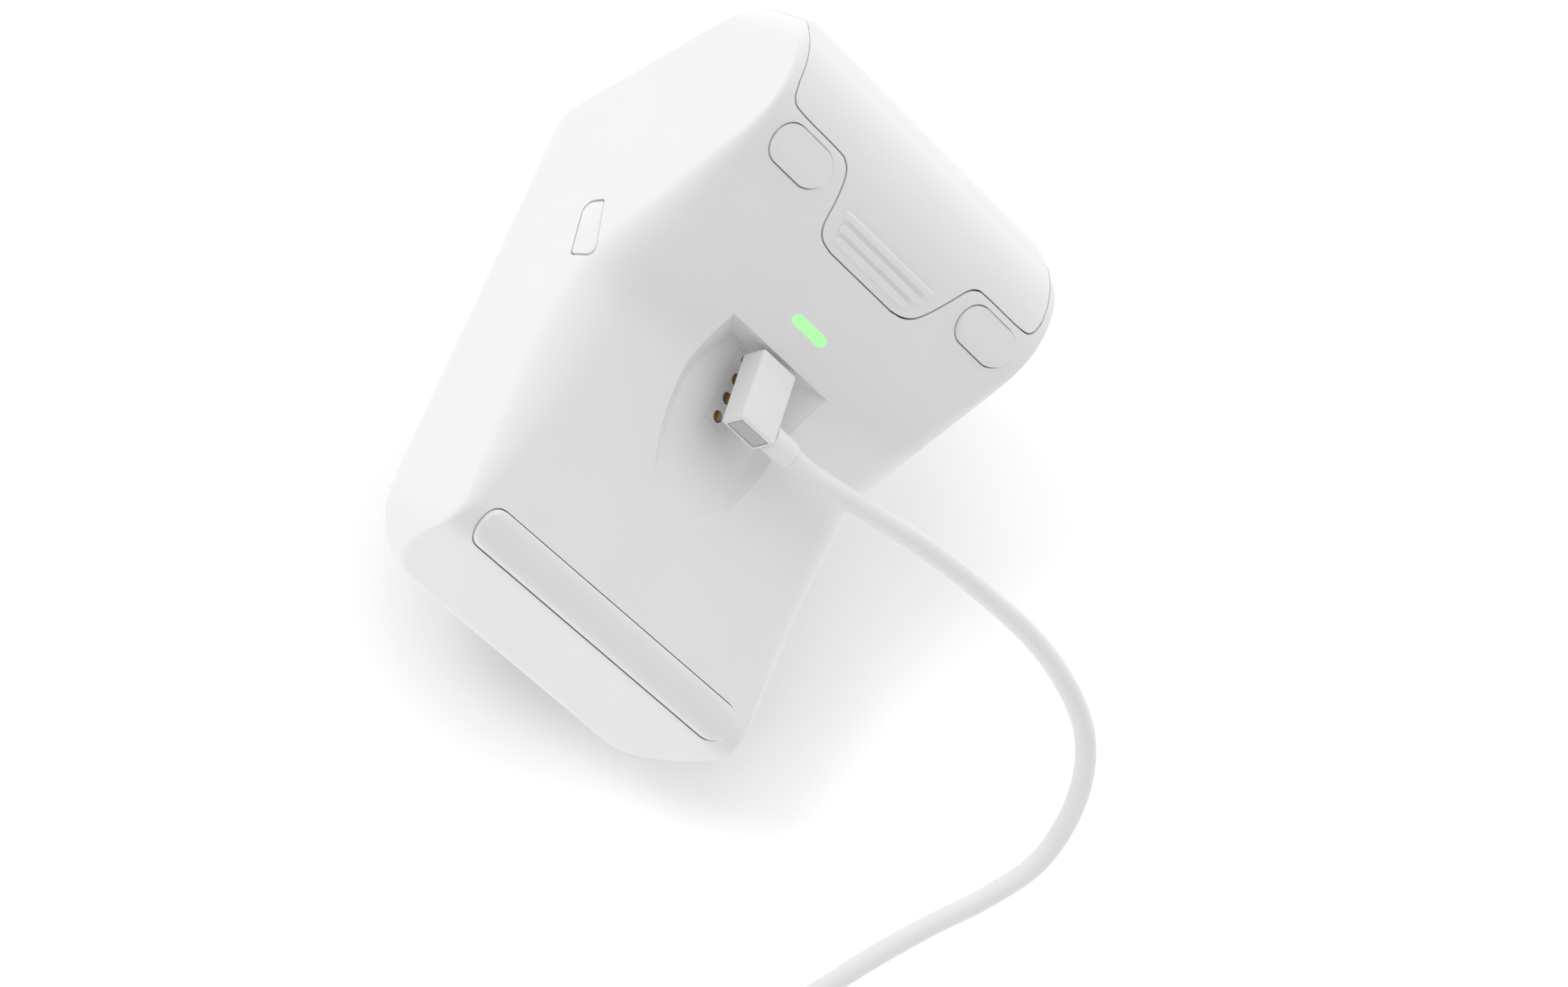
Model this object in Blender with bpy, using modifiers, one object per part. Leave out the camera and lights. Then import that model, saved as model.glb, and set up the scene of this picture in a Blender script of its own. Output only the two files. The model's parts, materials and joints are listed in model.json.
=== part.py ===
"""Card-payment terminal with a receipt printer, and the magnetic charging cable that docks in its underside.

Design frame: x to the right, y from the front edge towards the rear, z up from the surface that the feet stand on.
One empty carries the whole design, and puts the origin under the middle of the terminal.
"""
import math

import bmesh
import bpy
from mathutils import Matrix, Vector

MM = 0.001
GAP = 0.3 * MM

# Driving sizes of the terminal
WIDTH = 86.0 * MM
MIDDLE_Y = 68.145 * MM
PEAK = (96.8 * MM, 65.2 * MM)
TOP_TILT = math.radians(22.7)
REAR_TILT = math.radians(43.6)
UNDER_FRONT_SLOPE = 0.2456
UNDER_REAR_SLOPE = 0.33
LID_DEPTH = 5.6 * MM            # how far the display bezel reaches down from the sloped top
PLAN_RADIUS_FRONT = 12.9 * MM
PLAN_RADIUS_REAR = 9.5 * MM
SIDE_ROUND = (1.2 * MM, 10.4 * MM)   # rounding of the lower side edges: at the ends, and halfway along
TOP_ROUND = 2.4 * MM

# Feet
FRONT_FOOT = (34.2 * MM, 15.3 * MM, 4.15 * MM)
REAR_FOOT = (30.4 * MM, 109.9 * MM, 4.3 * MM, 3.6 * MM)

# Printer door
DOOR_HALF = 40.2 * MM
DOOR_WALL = 2.4 * MM
DOOR_FRONT_Y = 116.1 * MM
TAB = (100.8 * MM, 13.0 * MM, 20.5 * MM)    # front edge of the tab, its half width there, half width at its root
HINGE = (97.4 * MM, 60.2 * MM)
SLOT = (90.4 * MM, 93.2 * MM)

# Printing mechanism
PLATEN = (94.6 * MM, 51.6 * MM)
PLATEN_RADIUS = 4.2 * MM
ROLL = (104.0 * MM, 25.4 * MM)
ROLL_RADIUS = 18.4 * MM
MOTOR = (73.0 * MM, 30.6 * MM)
GEAR_X = -36.4 * MM
MODULE = 0.5 * MM
TEETH = {"motor_pinion": 12, "motor_idler_gear": 30, "platen_idler_gear": 20, "platen_gear": 20}

# Charging dock and plug
DOCK_REAR_Y = 79.9 * MM
DOCK_FRONT_Y = 41.0 * MM
DOCK_HALF = 15.0 * MM
DOCK_FLOOR = (67.8 * MM, 16.6 * MM, 0.31)   # a point of the floor, and its slope
DOCK_TILT = math.atan(DOCK_FLOOR[2])
PAD_YS = [(63.5 + 4.25 * step) * MM for step in range(4)]
PLUG = (10.3 * MM, 17.0 * MM, 6.0 * MM)
PLUG_REST = Vector((-0.6 * MM, 70.3 * MM, 8.1 * MM))
PLUG_TILT = math.radians(29.0)
LEAD_OFFSET = -5.4 * MM          # the cord leaves this far in front of the plug's middle
CORD_RADIUS = 2.3 * MM

for old in list(bpy.data.objects):
    bpy.data.objects.remove(old, do_unlink=True)

parts = bpy.data.collections.new("payment_terminal")
cutters = bpy.data.collections.new("cutters")
for collection in (parts, cutters):
    bpy.context.scene.collection.children.link(collection)

origin = bpy.data.objects.new("design_origin", None)
origin.location = (0, -MIDDLE_Y, 0)
parts.objects.link(origin)

WHITE = ((0.86, 0.86, 0.86), 0.5, 0.0)
PALE_RUBBER = ((0.82, 0.82, 0.82), 0.8, 0.0)
BLACK = ((0.02, 0.02, 0.022), 0.35, 0.0)
GLASS = ((0.01, 0.01, 0.012), 0.05, 0.0)
GREEN_BOARD = ((0.03, 0.16, 0.07), 0.5, 0.0)
STEEL = ((0.55, 0.56, 0.58), 0.35, 1.0)
GOLD = ((0.85, 0.6, 0.25), 0.3, 1.0)
DARK_RUBBER = ((0.05, 0.05, 0.05), 0.7, 0.0)
LIGHT = ((0.4, 1.0, 0.37), 0.4, 0.0)
PAPER = ((0.9, 0.9, 0.88), 0.9, 0.0)
COPPER = ((0.8, 0.42, 0.22), 0.35, 1.0)
GREY = ((0.6, 0.6, 0.6), 0.5, 0.0)


# ---- building blocks ---------------------------------------------------------------------------------

def place(name, mesh, look=None, location=(0, 0, 0), rotation=(0, 0, 0)):
    """An object on the design's empty; one without a look is a cutter."""
    piece = bpy.data.objects.new(name, mesh)
    piece.parent = origin
    piece.location = location
    piece.rotation_euler = rotation
    if look is None:
        cutters.objects.link(piece)
        piece.hide_render = True
        piece.display_type = "WIRE"
        return piece
    parts.objects.link(piece)
    material = bpy.data.materials.new(name)
    material.use_nodes = True
    shader = material.node_tree.nodes["Principled BSDF"]
    colour, shader.inputs["Roughness"].default_value, shader.inputs["Metallic"].default_value = look
    shader.inputs["Base Color"].default_value = (*colour, 1)
    mesh.materials.append(material)
    return piece


def wire(name, points, radius, look, location=(0, 0, 0), resolution=1):
    """A round wire or cord through the points."""
    curve = bpy.data.curves.new(name, "CURVE")
    curve.dimensions = "3D"
    curve.bevel_depth = radius
    curve.bevel_resolution = resolution
    curve.use_fill_caps = True
    spline = curve.splines.new("POLY")
    spline.points.add(len(points) - 1)
    for knot, point in zip(spline.points, points):
        knot.co = (*point, 1)
    return place(name, curve, look, location)


def pivot(name, axis_at, pieces):
    """Hangs the pieces of a moving body, where they are, from an empty on its joint's axis."""
    empty = bpy.data.objects.new(name, None)
    empty.parent = origin
    empty.location = axis_at
    parts.objects.link(empty)
    for piece in pieces:
        piece.parent = empty
        piece.location = piece.location - Vector(axis_at)


def mesh_from(bm, name, smooth=True):
    bmesh.ops.recalc_face_normals(bm, faces=bm.faces)
    mesh = bpy.data.meshes.new(name)
    bm.to_mesh(mesh)
    bm.free()
    if smooth:
        mesh.shade_smooth()
        mesh.set_sharp_from_angle(angle=math.radians(35))
    return mesh


def box(name, xs, ys, zs, look=None, location=(0, 0, 0), tilt=0.0, round_edges=0.0):
    """A block between the given limits, in a frame at location that is turned about x by tilt."""
    bm = bmesh.new()
    bmesh.ops.create_cube(bm, size=1.0)
    for vert in bm.verts:
        for axis, limits in enumerate((xs, ys, zs)):
            vert.co[axis] = limits[0] if vert.co[axis] < 0 else limits[1]
    piece = place(name, mesh_from(bm, name, False), look, location, (tilt, 0, 0))
    if round_edges:
        bevel = piece.modifiers.new("rounded edges", "BEVEL")
        bevel.width = round_edges
        bevel.segments = 2
        bevel.limit_method = "ANGLE"
    return piece


def rod(name, centre, radius, length, look=None, axis="X", sides=20, tip=None):
    """A cylinder about centre along an axis, or a cone when a tip radius is given."""
    bm = bmesh.new()
    bmesh.ops.create_cone(bm, cap_ends=True, segments=sides, radius1=radius,
                          radius2=radius if tip is None else tip, depth=length)
    turn = {"X": (0, math.pi / 2, 0), "Y": (-math.pi / 2, 0, 0), "Z": (0, 0, 0)}[axis]
    return place(name, mesh_from(bm, name), look, centre, turn)


def turned(name, profile, centre, look, axis="X", steps=24):
    """A closed profile of (radius, height) points turned about an axis through centre."""
    mesh = bpy.data.meshes.new(name)
    points = [(radius, 0, height) for radius, height in profile]
    mesh.from_pydata(points, [(k, (k + 1) % len(points)) for k in range(len(points))], [])
    turn = {"X": (0, math.pi / 2, 0), "Z": (0, 0, 0)}[axis]
    piece = place(name, mesh, look, centre, turn)
    screw = piece.modifiers.new("turn", "SCREW")
    screw.steps = screw.render_steps = steps
    screw.use_merge_vertices = True
    screw.merge_threshold = 0.00001
    return piece


def tube_profile(inner, outer, half):
    return [(outer, half), (outer, -half), (inner, -half), (inner, half)]


def flat_plate(name, points, thickness, look=None, location=(0, 0, 0), rotation=(0, 0, 0), hole=None):
    """A flat outline given thickness about its plane, made a mesh with welded caps."""
    curve = bpy.data.curves.new(name, "CURVE")
    curve.dimensions = "2D"
    curve.fill_mode = "BOTH"
    curve.extrude = thickness / 2
    for loop in [points] + ([hole] if hole else []):
        spline = curve.splines.new("POLY")
        spline.points.add(len(loop) - 1)
        for point, (u, v) in zip(spline.points, loop):
            point.co = (u, v, 0, 1)
        spline.use_cyclic_u = True
    draft = bpy.data.objects.new(name + "_curve", curve)
    parts.objects.link(draft)
    bpy.context.view_layer.update()
    mesh = bpy.data.meshes.new_from_object(draft.evaluated_get(bpy.context.evaluated_depsgraph_get()))
    bpy.data.objects.remove(draft, do_unlink=True)
    bm = bmesh.new()
    bm.from_mesh(mesh)
    bmesh.ops.remove_doubles(bm, verts=bm.verts, dist=0.000001)
    mesh.clear_geometry()
    mesh.materials.clear()
    return place(name, mesh_from(bm, name), look, location, rotation)


def arc(centre, radius, start, end, steps):
    """Points along an arc, angles in degrees."""
    angles = [math.radians(start + (end - start) * k / steps) for k in range(steps + 1)]
    return [(centre[0] + radius * math.cos(a), centre[1] + radius * math.sin(a)) for a in angles]


def stadium(half_run, radius, steps=8):
    return arc((half_run, 0), radius, -90, 90, steps) + arc((-half_run, 0), radius, 90, 270, steps)


def rounded(corners, steps=4):
    """A closed outline whose corners (u, v, radius) are turned into arcs."""
    outline = []
    for k, (u, v, radius) in enumerate(corners):
        corner = Vector((u, v))
        before = (Vector(corners[k - 1][:2]) - corner).normalized()
        after = (Vector(corners[(k + 1) % len(corners)][:2]) - corner).normalized()
        half = before.angle(after) / 2
        middle = corner + (before + after).normalized() * radius / math.sin(half)
        first = corner + before * radius / math.tan(half) - middle
        last = corner + after * radius / math.tan(half) - middle
        start = math.atan2(first.y, first.x)
        sweep = (math.atan2(last.y, last.x) - start + math.pi) % (2 * math.pi) - math.pi
        for step in range(steps + 1):
            angle = start + sweep * step / steps
            outline.append((middle.x + radius * math.cos(angle), middle.y + radius * math.sin(angle)))
    return outline


def change(piece, tool, operation):
    boolean = piece.modifiers.new(tool.name, "BOOLEAN")
    boolean.operation = operation
    boolean.object = tool
    boolean.solver = "EXACT"


def cut(piece, *tools):
    for tool in tools:
        change(piece, tool, "DIFFERENCE")


def join(piece, *tools):
    for tool in tools:
        change(piece, tool, "UNION")


# ---- the terminal's outer form -----------------------------------------------------------------------

def top_z(y):
    return PEAK[1] - (PEAK[0] - y) * math.tan(TOP_TILT)


def rear_z(y):
    return PEAK[1] - (y - PEAK[0]) * math.tan(REAR_TILT)


def under_front_z(y):
    return 0.6 * MM + (y - FRONT_FOOT[1]) * UNDER_FRONT_SLOPE


def under_rear_z(y):
    return (110.5 * MM - y) * UNDER_REAR_SLOPE


def crossing(chain, y):
    """Height of a chain of (y, z) points, ordered along y, at y."""
    for (y0, z0), (y1, z1) in zip(chain, chain[1:]):
        if y0 <= y <= y1 and y1 > y0:
            return z0 + (z1 - z0) * (y - y0) / (y1 - y0)
    return chain[0][1] if y < chain[0][0] else chain[-1][1]


def side_round(y, ends):
    share = min(max((y - 8 * MM) / (108 * MM), 0), 1)
    return ends[0] + (ends[1] - ends[0]) * math.sin(math.pi * share) ** 1.5


def loft(name, corners, half, plan_radii, ends, top_round, look=None, arc_steps=4):
    """A body of upright sections along y: the side outline gives their heights, the plan corners their widths."""
    outline = rounded(corners, arc_steps)
    first = min(range(len(outline)), key=lambda k: outline[k][0])
    last = max(range(len(outline)), key=lambda k: outline[k][0])
    count = len(outline)
    lower = [outline[(first + k) % count] for k in range((last - first) % count + 1)]
    upper = [outline[(first - k) % count] for k in range((first - last) % count + 1)]
    y0, y1 = outline[first][0], outline[last][0]
    front, rear = plan_radii
    wanted = [y0 + 0.05 * MM, y1 - 0.05 * MM] + [y for y, _ in outline]
    for angle in (15, 32, 50, 70, 90):
        wanted += [y0 + front * (1 - math.sin(math.radians(angle))), y1 - rear * (1 - math.sin(math.radians(angle)))]
    stations = []
    for y in sorted(wanted):
        if y0 < y < y1 and (not stations or y - stations[-1] > 0.35 * MM):
            stations.append(y)
    bm = bmesh.new()
    rings = []
    for y in stations:
        low, high = crossing(lower, y), crossing(upper, y)
        reach = half
        if y < y0 + front:
            reach = half - front + math.sqrt(front ** 2 - (y0 + front - y) ** 2)
        elif y > y1 - rear:
            reach = half - rear + math.sqrt(max(rear ** 2 - (y - y1 + rear) ** 2, 0))
        lower_round = min(side_round(y, ends), 0.55 * (high - low))
        upper_round = min(top_round, 0.35 * (high - low))
        section = arc((reach - lower_round, low + lower_round), lower_round, -90, 0, 5)
        section += arc((reach - upper_round, high - upper_round), upper_round, 0, 90, 3)
        section += [(-x, z) for x, z in reversed(section)]
        rings.append([bm.verts.new((x, y, z)) for x, z in section])
    for ring, following in zip(rings, rings[1:]):
        for k in range(len(ring)):
            n = (k + 1) % len(ring)
            bm.faces.new((ring[k], ring[n], following[n], following[k]))
    bm.faces.new(rings[0])
    bm.faces.new(rings[-1])
    return place(name, mesh_from(bm, name), look)


BODY_CORNERS = [
    (-1.26 * MM, top_z(-1.26 * MM), 3.1 * MM),
    (12.5 * MM, under_front_z(12.5 * MM), 7.0 * MM),
    (68.8 * MM, under_rear_z(68.8 * MM), 15.6 * MM),
    (120.8 * MM, under_rear_z(120.8 * MM), 21.8 * MM),
    (141.0 * MM, rear_z(141.0 * MM), 14.0 * MM),
    (PEAK[0], PEAK[1], 5.4 * MM),
]
HOLLOW_CORNERS = [
    (3.4 * MM, 23.5 * MM, 1.0 * MM),
    (18.6 * MM, 4.0 * MM, 5.0 * MM),
    (42.0 * MM, 9.9 * MM, 3.0 * MM),
    (52.0 * MM, 16.0 * MM, 3.0 * MM),
    (82.2 * MM, 24.2 * MM, 0.8 * MM),
    (83.0 * MM, 12.4 * MM, 1.0 * MM),
    (107.0 * MM, 3.8 * MM, 4.0 * MM),
    (117.0 * MM, 3.6 * MM, 1.0 * MM),
    (118.0 * MM, 42.0 * MM, 1.0 * MM),
    (96.0 * MM, 60.0 * MM, 1.0 * MM),
]


def body_form(name, look, shift=(0, 0)):
    """The outer form, moved by shift in y and z."""
    body = loft(name, BODY_CORNERS, WIDTH / 2, (PLAN_RADIUS_FRONT, PLAN_RADIUS_REAR), SIDE_ROUND, TOP_ROUND, look)
    body.location = (0, *shift)
    return body


def seen_from_above(side_points):
    """A closed outline, symmetric about x = 0, from the points of its right half."""
    return side_points + [(-x, y) for x, y in reversed(side_points)]


def door_outline(grow):
    """Plan of the printer door's lower part, grown by grow: a tab in front, then its full width behind the feet."""
    tab_y, tab_half, root_half = TAB
    return seen_from_above([
        (tab_half - 3.2 * MM + grow, tab_y - grow),
        (tab_half + 0.2 * MM + grow, tab_y + 0.8 * MM - grow),
        (tab_half + 2.6 * MM + grow, tab_y + 3.0 * MM - grow),
        (root_half - 2.6 * MM + grow, DOOR_FRONT_Y - 6.6 * MM - grow),
        (root_half - 0.8 * MM + grow, DOOR_FRONT_Y - 2.4 * MM - grow),
        (root_half + 1.2 * MM + grow, DOOR_FRONT_Y - 0.5 * MM - grow),
        (root_half + 4.0 * MM + grow, DOOR_FRONT_Y - grow),
        (DOOR_HALF - 4.0 * MM + grow, DOOR_FRONT_Y + 0.2 * MM - grow),
        (DOOR_HALF - 1.0 * MM + grow, DOOR_FRONT_Y + 1.4 * MM - grow),
        (DOOR_HALF + grow, DOOR_FRONT_Y + 4.6 * MM - grow),
        (DOOR_HALF + grow, 150 * MM),
    ])


def door_space(name, grow):
    """The part of the body's form that belongs to the door: the rear above the tab, up to the slot at the peak."""
    side = [(SLOT[1] - grow, 75 * MM), (SLOT[1] - grow, 56 * MM - grow), (117 * MM - grow, 34 * MM - grow),
            (117 * MM - grow, 12 * MM), (150 * MM, 12 * MM), (150 * MM, 75 * MM)]
    upper = flat_plate(name + "_upper", side, 2 * (DOOR_HALF + grow), rotation=(math.pi / 2, 0, math.pi / 2))
    lower = flat_plate(name + "_lower", door_outline(grow), 18 * MM, location=(0, 0, 7 * MM))
    join(upper, lower)
    return upper


# ---- housing -----------------------------------------------------------------------------------------

top_frame = {"location": (0, 0, top_z(0)), "tilt": TOP_TILT}
slope_end = SLOT[0] / math.cos(TOP_TILT)

main_housing = body_form("main_housing", WHITE)
hollow = loft("housing_hollow", HOLLOW_CORNERS, 40.6 * MM, (10.4 * MM, 1.0 * MM), (1.0 * MM, 9.0 * MM), 1.0 * MM,
              arc_steps=3)


def top_plate(name, spans, radii, heights, look=None):
    """A plate with rounded corners in the frame of the sloped top; spans holds its half width, front and back."""
    half, front, back = spans
    corners = [(half, front, radii[0]), (half, back, radii[1]), (-half, back, radii[1]), (-half, front, radii[0])]
    up = Matrix.Rotation(TOP_TILT, 3, "X") @ Vector((0, 0, sum(heights) / 2))
    at = Vector((0, 0, top_z(0))) + up
    return flat_plate(name, rounded(corners), heights[1] - heights[0], look, at, (TOP_TILT, 0, 0))


def lid_prism(name, inset, depth):
    """The lid's rounded outline on the sloped top, from depth below the top to well above it."""
    spans = (40.4 * MM - inset, 3.0 * MM + inset, slope_end + GAP - inset)
    return top_plate(name, spans, (10.4 * MM, 0.5 * MM), (-depth, 20 * MM))


lid_space = lid_prism("lid_space", 0, LID_DEPTH)
slot_space = box("slot_space", (-DOOR_HALF - GAP, DOOR_HALF + GAP), (SLOT[0] - 4 * MM, SLOT[1] + 2 * MM),
                 (47 * MM, 80 * MM))
cut(main_housing, hollow, lid_space, slot_space, door_space("door_room", GAP))


def dock_floor_z(y):
    point_y, point_z, slope = DOCK_FLOOR
    return min(point_z + (y - point_y) * slope, under_front_z(DOCK_FRONT_Y) + (y - DOCK_FRONT_Y) * 0.42)


def dock_half(y):
    """Half width of the dock's mouth: straight at the rear, closing in an arc towards the front."""
    if y > 70 * MM:
        return DOCK_HALF
    return DOCK_HALF * math.sqrt(max(1 - ((70 * MM - y) / (29.5 * MM)) ** 2.2, 0))


def dock_cutter():
    """A scoop with a straight rear wall and side walls that flare outwards at 45 degrees."""
    bm = bmesh.new()
    rings = []
    steps = 10
    for k in range(steps + 1):
        y = DOCK_FRONT_Y + (DOCK_REAR_Y - DOCK_FRONT_Y) * (k / steps)
        skin = max(under_front_z(y), 0) if y < 66 * MM else under_rear_z(y) if y > 72 * MM else 12.9 * MM
        floor = dock_floor_z(y) + 0.01 * MM
        half = max(dock_half(y), 0.6 * MM)
        top = max(half - (floor - skin), 0.35 * half)
        low = skin - 6 * MM
        ring = [(half, low), (half, skin), (top, floor), (-top, floor), (-half, skin), (-half, low)]
        rings.append([bm.verts.new((x, y, z)) for x, z in ring])
    for ring, following in zip(rings, rings[1:]):
        for k in range(len(ring)):
            n = (k + 1) % len(ring)
            bm.faces.new((ring[k], ring[n], following[n], following[k]))
    bm.faces.new(rings[0])
    bm.faces.new(rings[-1])
    return place("dock_scoop", mesh_from(bm, "dock_scoop"))


dock_frame = {"location": (0, DOCK_FLOOR[0] + 2.1 * MM, DOCK_FLOOR[1] + 2.1 * MM * DOCK_FLOOR[2]), "tilt": DOCK_TILT}
block_room = box("block_room", (-3.3 * MM, 3.3 * MM), (-9.0 * MM, 8.4 * MM), (-0.5 * MM, 1.9 * MM), **dock_frame)
cut(main_housing, dock_cutter(), block_room)

# Wells for the feet and for the screws that they hide, the button's opening and the status light's window
FEET = {
    "front_foot": ((0, FRONT_FOOT[1]), FRONT_FOOT[0], FRONT_FOOT[2]),
    "rear_foot_right": ((REAR_FOOT[0], REAR_FOOT[1]), REAR_FOOT[3], REAR_FOOT[2]),
    "rear_foot_left": ((-REAR_FOOT[0], REAR_FOOT[1]), REAR_FOOT[3], REAR_FOOT[2]),
}
SCREWS = [(x, y) for y in (FRONT_FOOT[1] + 0.4 * MM, REAR_FOOT[1]) for x in (-REAR_FOOT[0], REAR_FOOT[0])]
for number, (x, y) in enumerate(SCREWS, 1):
    boss_top = 11.2 * MM if y < MIDDLE_Y else 7.0 * MM
    join(main_housing, rod(f"screw_boss_{number}", (x, y, boss_top / 2 + 1.1 * MM), 3.6 * MM, boss_top - 2.2 * MM,
                           axis="Z", sides=16))
for name, ((x, y), run, radius) in FEET.items():
    foot = flat_plate(name, stadium(run, radius), 6 * MM, PALE_RUBBER, (x, y, 3 * MM))
    change(foot, body_form(name + "_face", None, (-0.25 * MM, -1.1 * MM)), "INTERSECT")
    cut(foot, body_form(name + "_back", None, (0.3 * MM, 1.0 * MM)))
    well = flat_plate(name + "_well", stadium(run, radius + GAP), 12 * MM, location=(x, y, 0))
    cut(well, body_form(name + "_well_floor", None, (0.4 * MM, 1.3 * MM)))
    cut(main_housing, well)
for number, (x, y) in enumerate(SCREWS, 1):
    tip = 11.5 * MM if y < MIDDLE_Y else 7.8 * MM
    cut(main_housing, rod(f"screw_hole_{number}", (x, y, 6 * MM), 1.3 * MM, 14 * MM, axis="Z", sides=12),
        rod(f"screw_seat_{number}", (x, y, 2.1 * MM), 2.6 * MM, 5.6 * MM, axis="Z", sides=16))
    turned(f"case_screw_{number}", [(0, tip), (1.0 * MM, tip), (1.0 * MM, 4.6 * MM), (2.2 * MM, 4.6 * MM),
                                    (2.2 * MM, 3.0 * MM), (0, 3.0 * MM)], (x, y, 0), STEEL, axis="Z", steps=12)

light_frame = {"location": (-0.2 * MM, 87.3 * MM, under_rear_z(87.3 * MM)),
               "rotation": (-math.atan(UNDER_REAR_SLOPE), 0, 0)}
cut(main_housing, flat_plate("light_window_hole", stadium(3.9 * MM, 1.8 * MM, 5), 16 * MM, **light_frame))
flat_plate("status_light", stadium(3.9 * MM, 1.5 * MM, 6), 2.4 * MM, LIGHT,
           location=Vector(light_frame["location"]) + Vector((0, 0.33 * 1.1 * MM, 1.15 * MM)),
           rotation=light_frame["rotation"])
box("light_board", (-7 * MM, 7 * MM), (-3.5 * MM, 3.5 * MM), (3.4 * MM, 4.4 * MM), GREEN_BOARD,
    light_frame["location"], light_frame["rotation"][0])

BUTTON = [(80.9 * MM, 35.1 * MM, 2.4 * MM), (69.4 * MM, 26.9 * MM, 1.5 * MM), (71.2 * MM, 19.0 * MM, 1.8 * MM),
          (82.9 * MM, 29.3 * MM, 1.2 * MM)]
button_middle = Vector([sum(corner[k] for corner in BUTTON) / 4 for k in (0, 1)])
BUTTON_FACE = [((Vector(corner[:2]) - button_middle) * 0.93)[:] + (corner[2] * 0.85,) for corner in BUTTON]
SIDEWAYS = (math.pi / 2, 0, math.pi / 2)    # turns a flat outline into the (y, z) plane
cut(main_housing, flat_plate("button_hole", rounded(BUTTON, 3), 8 * MM, location=(43 * MM, 0, 0),
                             rotation=SIDEWAYS))

power_button = flat_plate("power_button", rounded(BUTTON_FACE, 3), 2.2 * MM, WHITE,
                          (WIDTH / 2 - 1.1 * MM, *button_middle), SIDEWAYS)
join(power_button, rod("button_stem", (40.6 * MM, *button_middle), 1.6 * MM, 1.4 * MM, sides=12))
box("power_switch", (37.4 * MM, 39.0 * MM), (-2 * MM, 2.5 * MM), (-1.0 * MM, 3.4 * MM), BLACK,
    (0, *button_middle))

# ---- dock contacts -----------------------------------------------------------------------------------

contact_block = box("contact_block", (-3 * MM, 3 * MM), (-8.7 * MM, 8.1 * MM), (0, 1.6 * MM), WHITE, **dock_frame)
turn_to_dock = Matrix.Rotation(DOCK_TILT, 4, "X")
for number, y in enumerate(PAD_YS, 1):
    along = (y - dock_frame["location"][1]) / math.cos(DOCK_TILT)
    place_at = Vector(dock_frame["location"]) + turn_to_dock @ Vector((0, along, 0.8 * MM))
    hole = rod(f"pad_hole_{number}", place_at, 1.3 * MM, 4 * MM, axis="Z", sides=16)
    pad = rod(f"contact_pad_{number}", place_at, 1.0 * MM, 1.3 * MM, GOLD, axis="Z", sides=16)
    hole.rotation_euler = pad.rotation_euler = (DOCK_TILT, 0, 0)
    cut(contact_block, hole)
for side, word in ((1, "right"), (-1, "left")):
    xs = sorted((side * 6.6 * MM, side * 10.4 * MM))
    box(f"dock_magnet_{word}", xs, (-7 * MM, 5 * MM), (5.0 * MM, 7.0 * MM), STEEL, **dock_frame)

# ---- display side ------------------------------------------------------------------------------------

display_bezel = body_form("display_bezel", WHITE)
change(display_bezel, lid_prism("lid_slab", GAP, LID_DEPTH - GAP), "INTERSECT")
cut(display_bezel,
    top_plate("glass_seat", (38.4 * MM, 5.0 * MM, 92.2 * MM), (8.6 * MM, 3.0 * MM), (-1.5 * MM, 9 * MM)),
    box("lid_opening", (-36.4 * MM, 36.4 * MM), (9 * MM, 88.4 * MM), (-20 * MM, 9 * MM), **top_frame))
top_plate("touch_glass", (38.1 * MM, 5.3 * MM, 91.9 * MM), (8.3 * MM, 2.7 * MM), (-1.2 * MM, -0.1 * MM), GLASS)
box("display_module", (-35.6 * MM, 35.6 * MM), (10 * MM, 87.6 * MM), (-4.1 * MM, -1.5 * MM), BLACK, **top_frame)
box("display_bracket", (-35.8 * MM, 35.8 * MM), (10 * MM, 87.6 * MM), (-5.3 * MM, -4.4 * MM), STEEL, **top_frame)
antenna_ring = [(-28 * MM, -22 * MM), (28 * MM, -22 * MM), (28 * MM, 22 * MM), (-28 * MM, 22 * MM)]
antenna_hole = [(u * 0.82, v * 0.78) for u, v in antenna_ring]
nfc_antenna = flat_plate("nfc_antenna", antenna_ring, 0.5 * MM, COPPER, hole=antenna_hole)
nfc_antenna.rotation_euler = (TOP_TILT, 0, 0)
under_lid = Matrix.Rotation(TOP_TILT, 3, "X") @ Vector((0, 40 * MM, -6.9 * MM))
nfc_antenna.location = Vector((0, 0, top_z(0))) + under_lid
box("main_board", (-34.2 * MM, 34.2 * MM), (14 * MM, 76 * MM), (-11.2 * MM, -9.6 * MM), GREEN_BOARD, **top_frame)
box("board_shield", (-20 * MM, 12 * MM), (40 * MM, 68 * MM), (-14.0 * MM, -11.5 * MM), STEEL, **top_frame,
    round_edges=0.4 * MM)

# ---- battery, speaker and aerial ---------------------------------------------------------------------

box("battery", (-17 * MM, 35 * MM), (-13 * MM, 12 * MM), (-4.3 * MM, 4.3 * MM), GREY, (0, 32.4 * MM, 13.9 * MM),
    math.atan(UNDER_FRONT_SLOPE), round_edges=0.8 * MM)
rod("speaker", (-28 * MM, 34 * MM, 12.6 * MM), 7.5 * MM, 3.6 * MM, DARK_RUBBER, axis="Z", sides=24)
box("wifi_aerial", (-38.6 * MM, -37.6 * MM), (48 * MM, 70 * MM), (30 * MM, 36 * MM), COPPER)

# ---- printer -----------------------------------------------------------------------------------------

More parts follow.
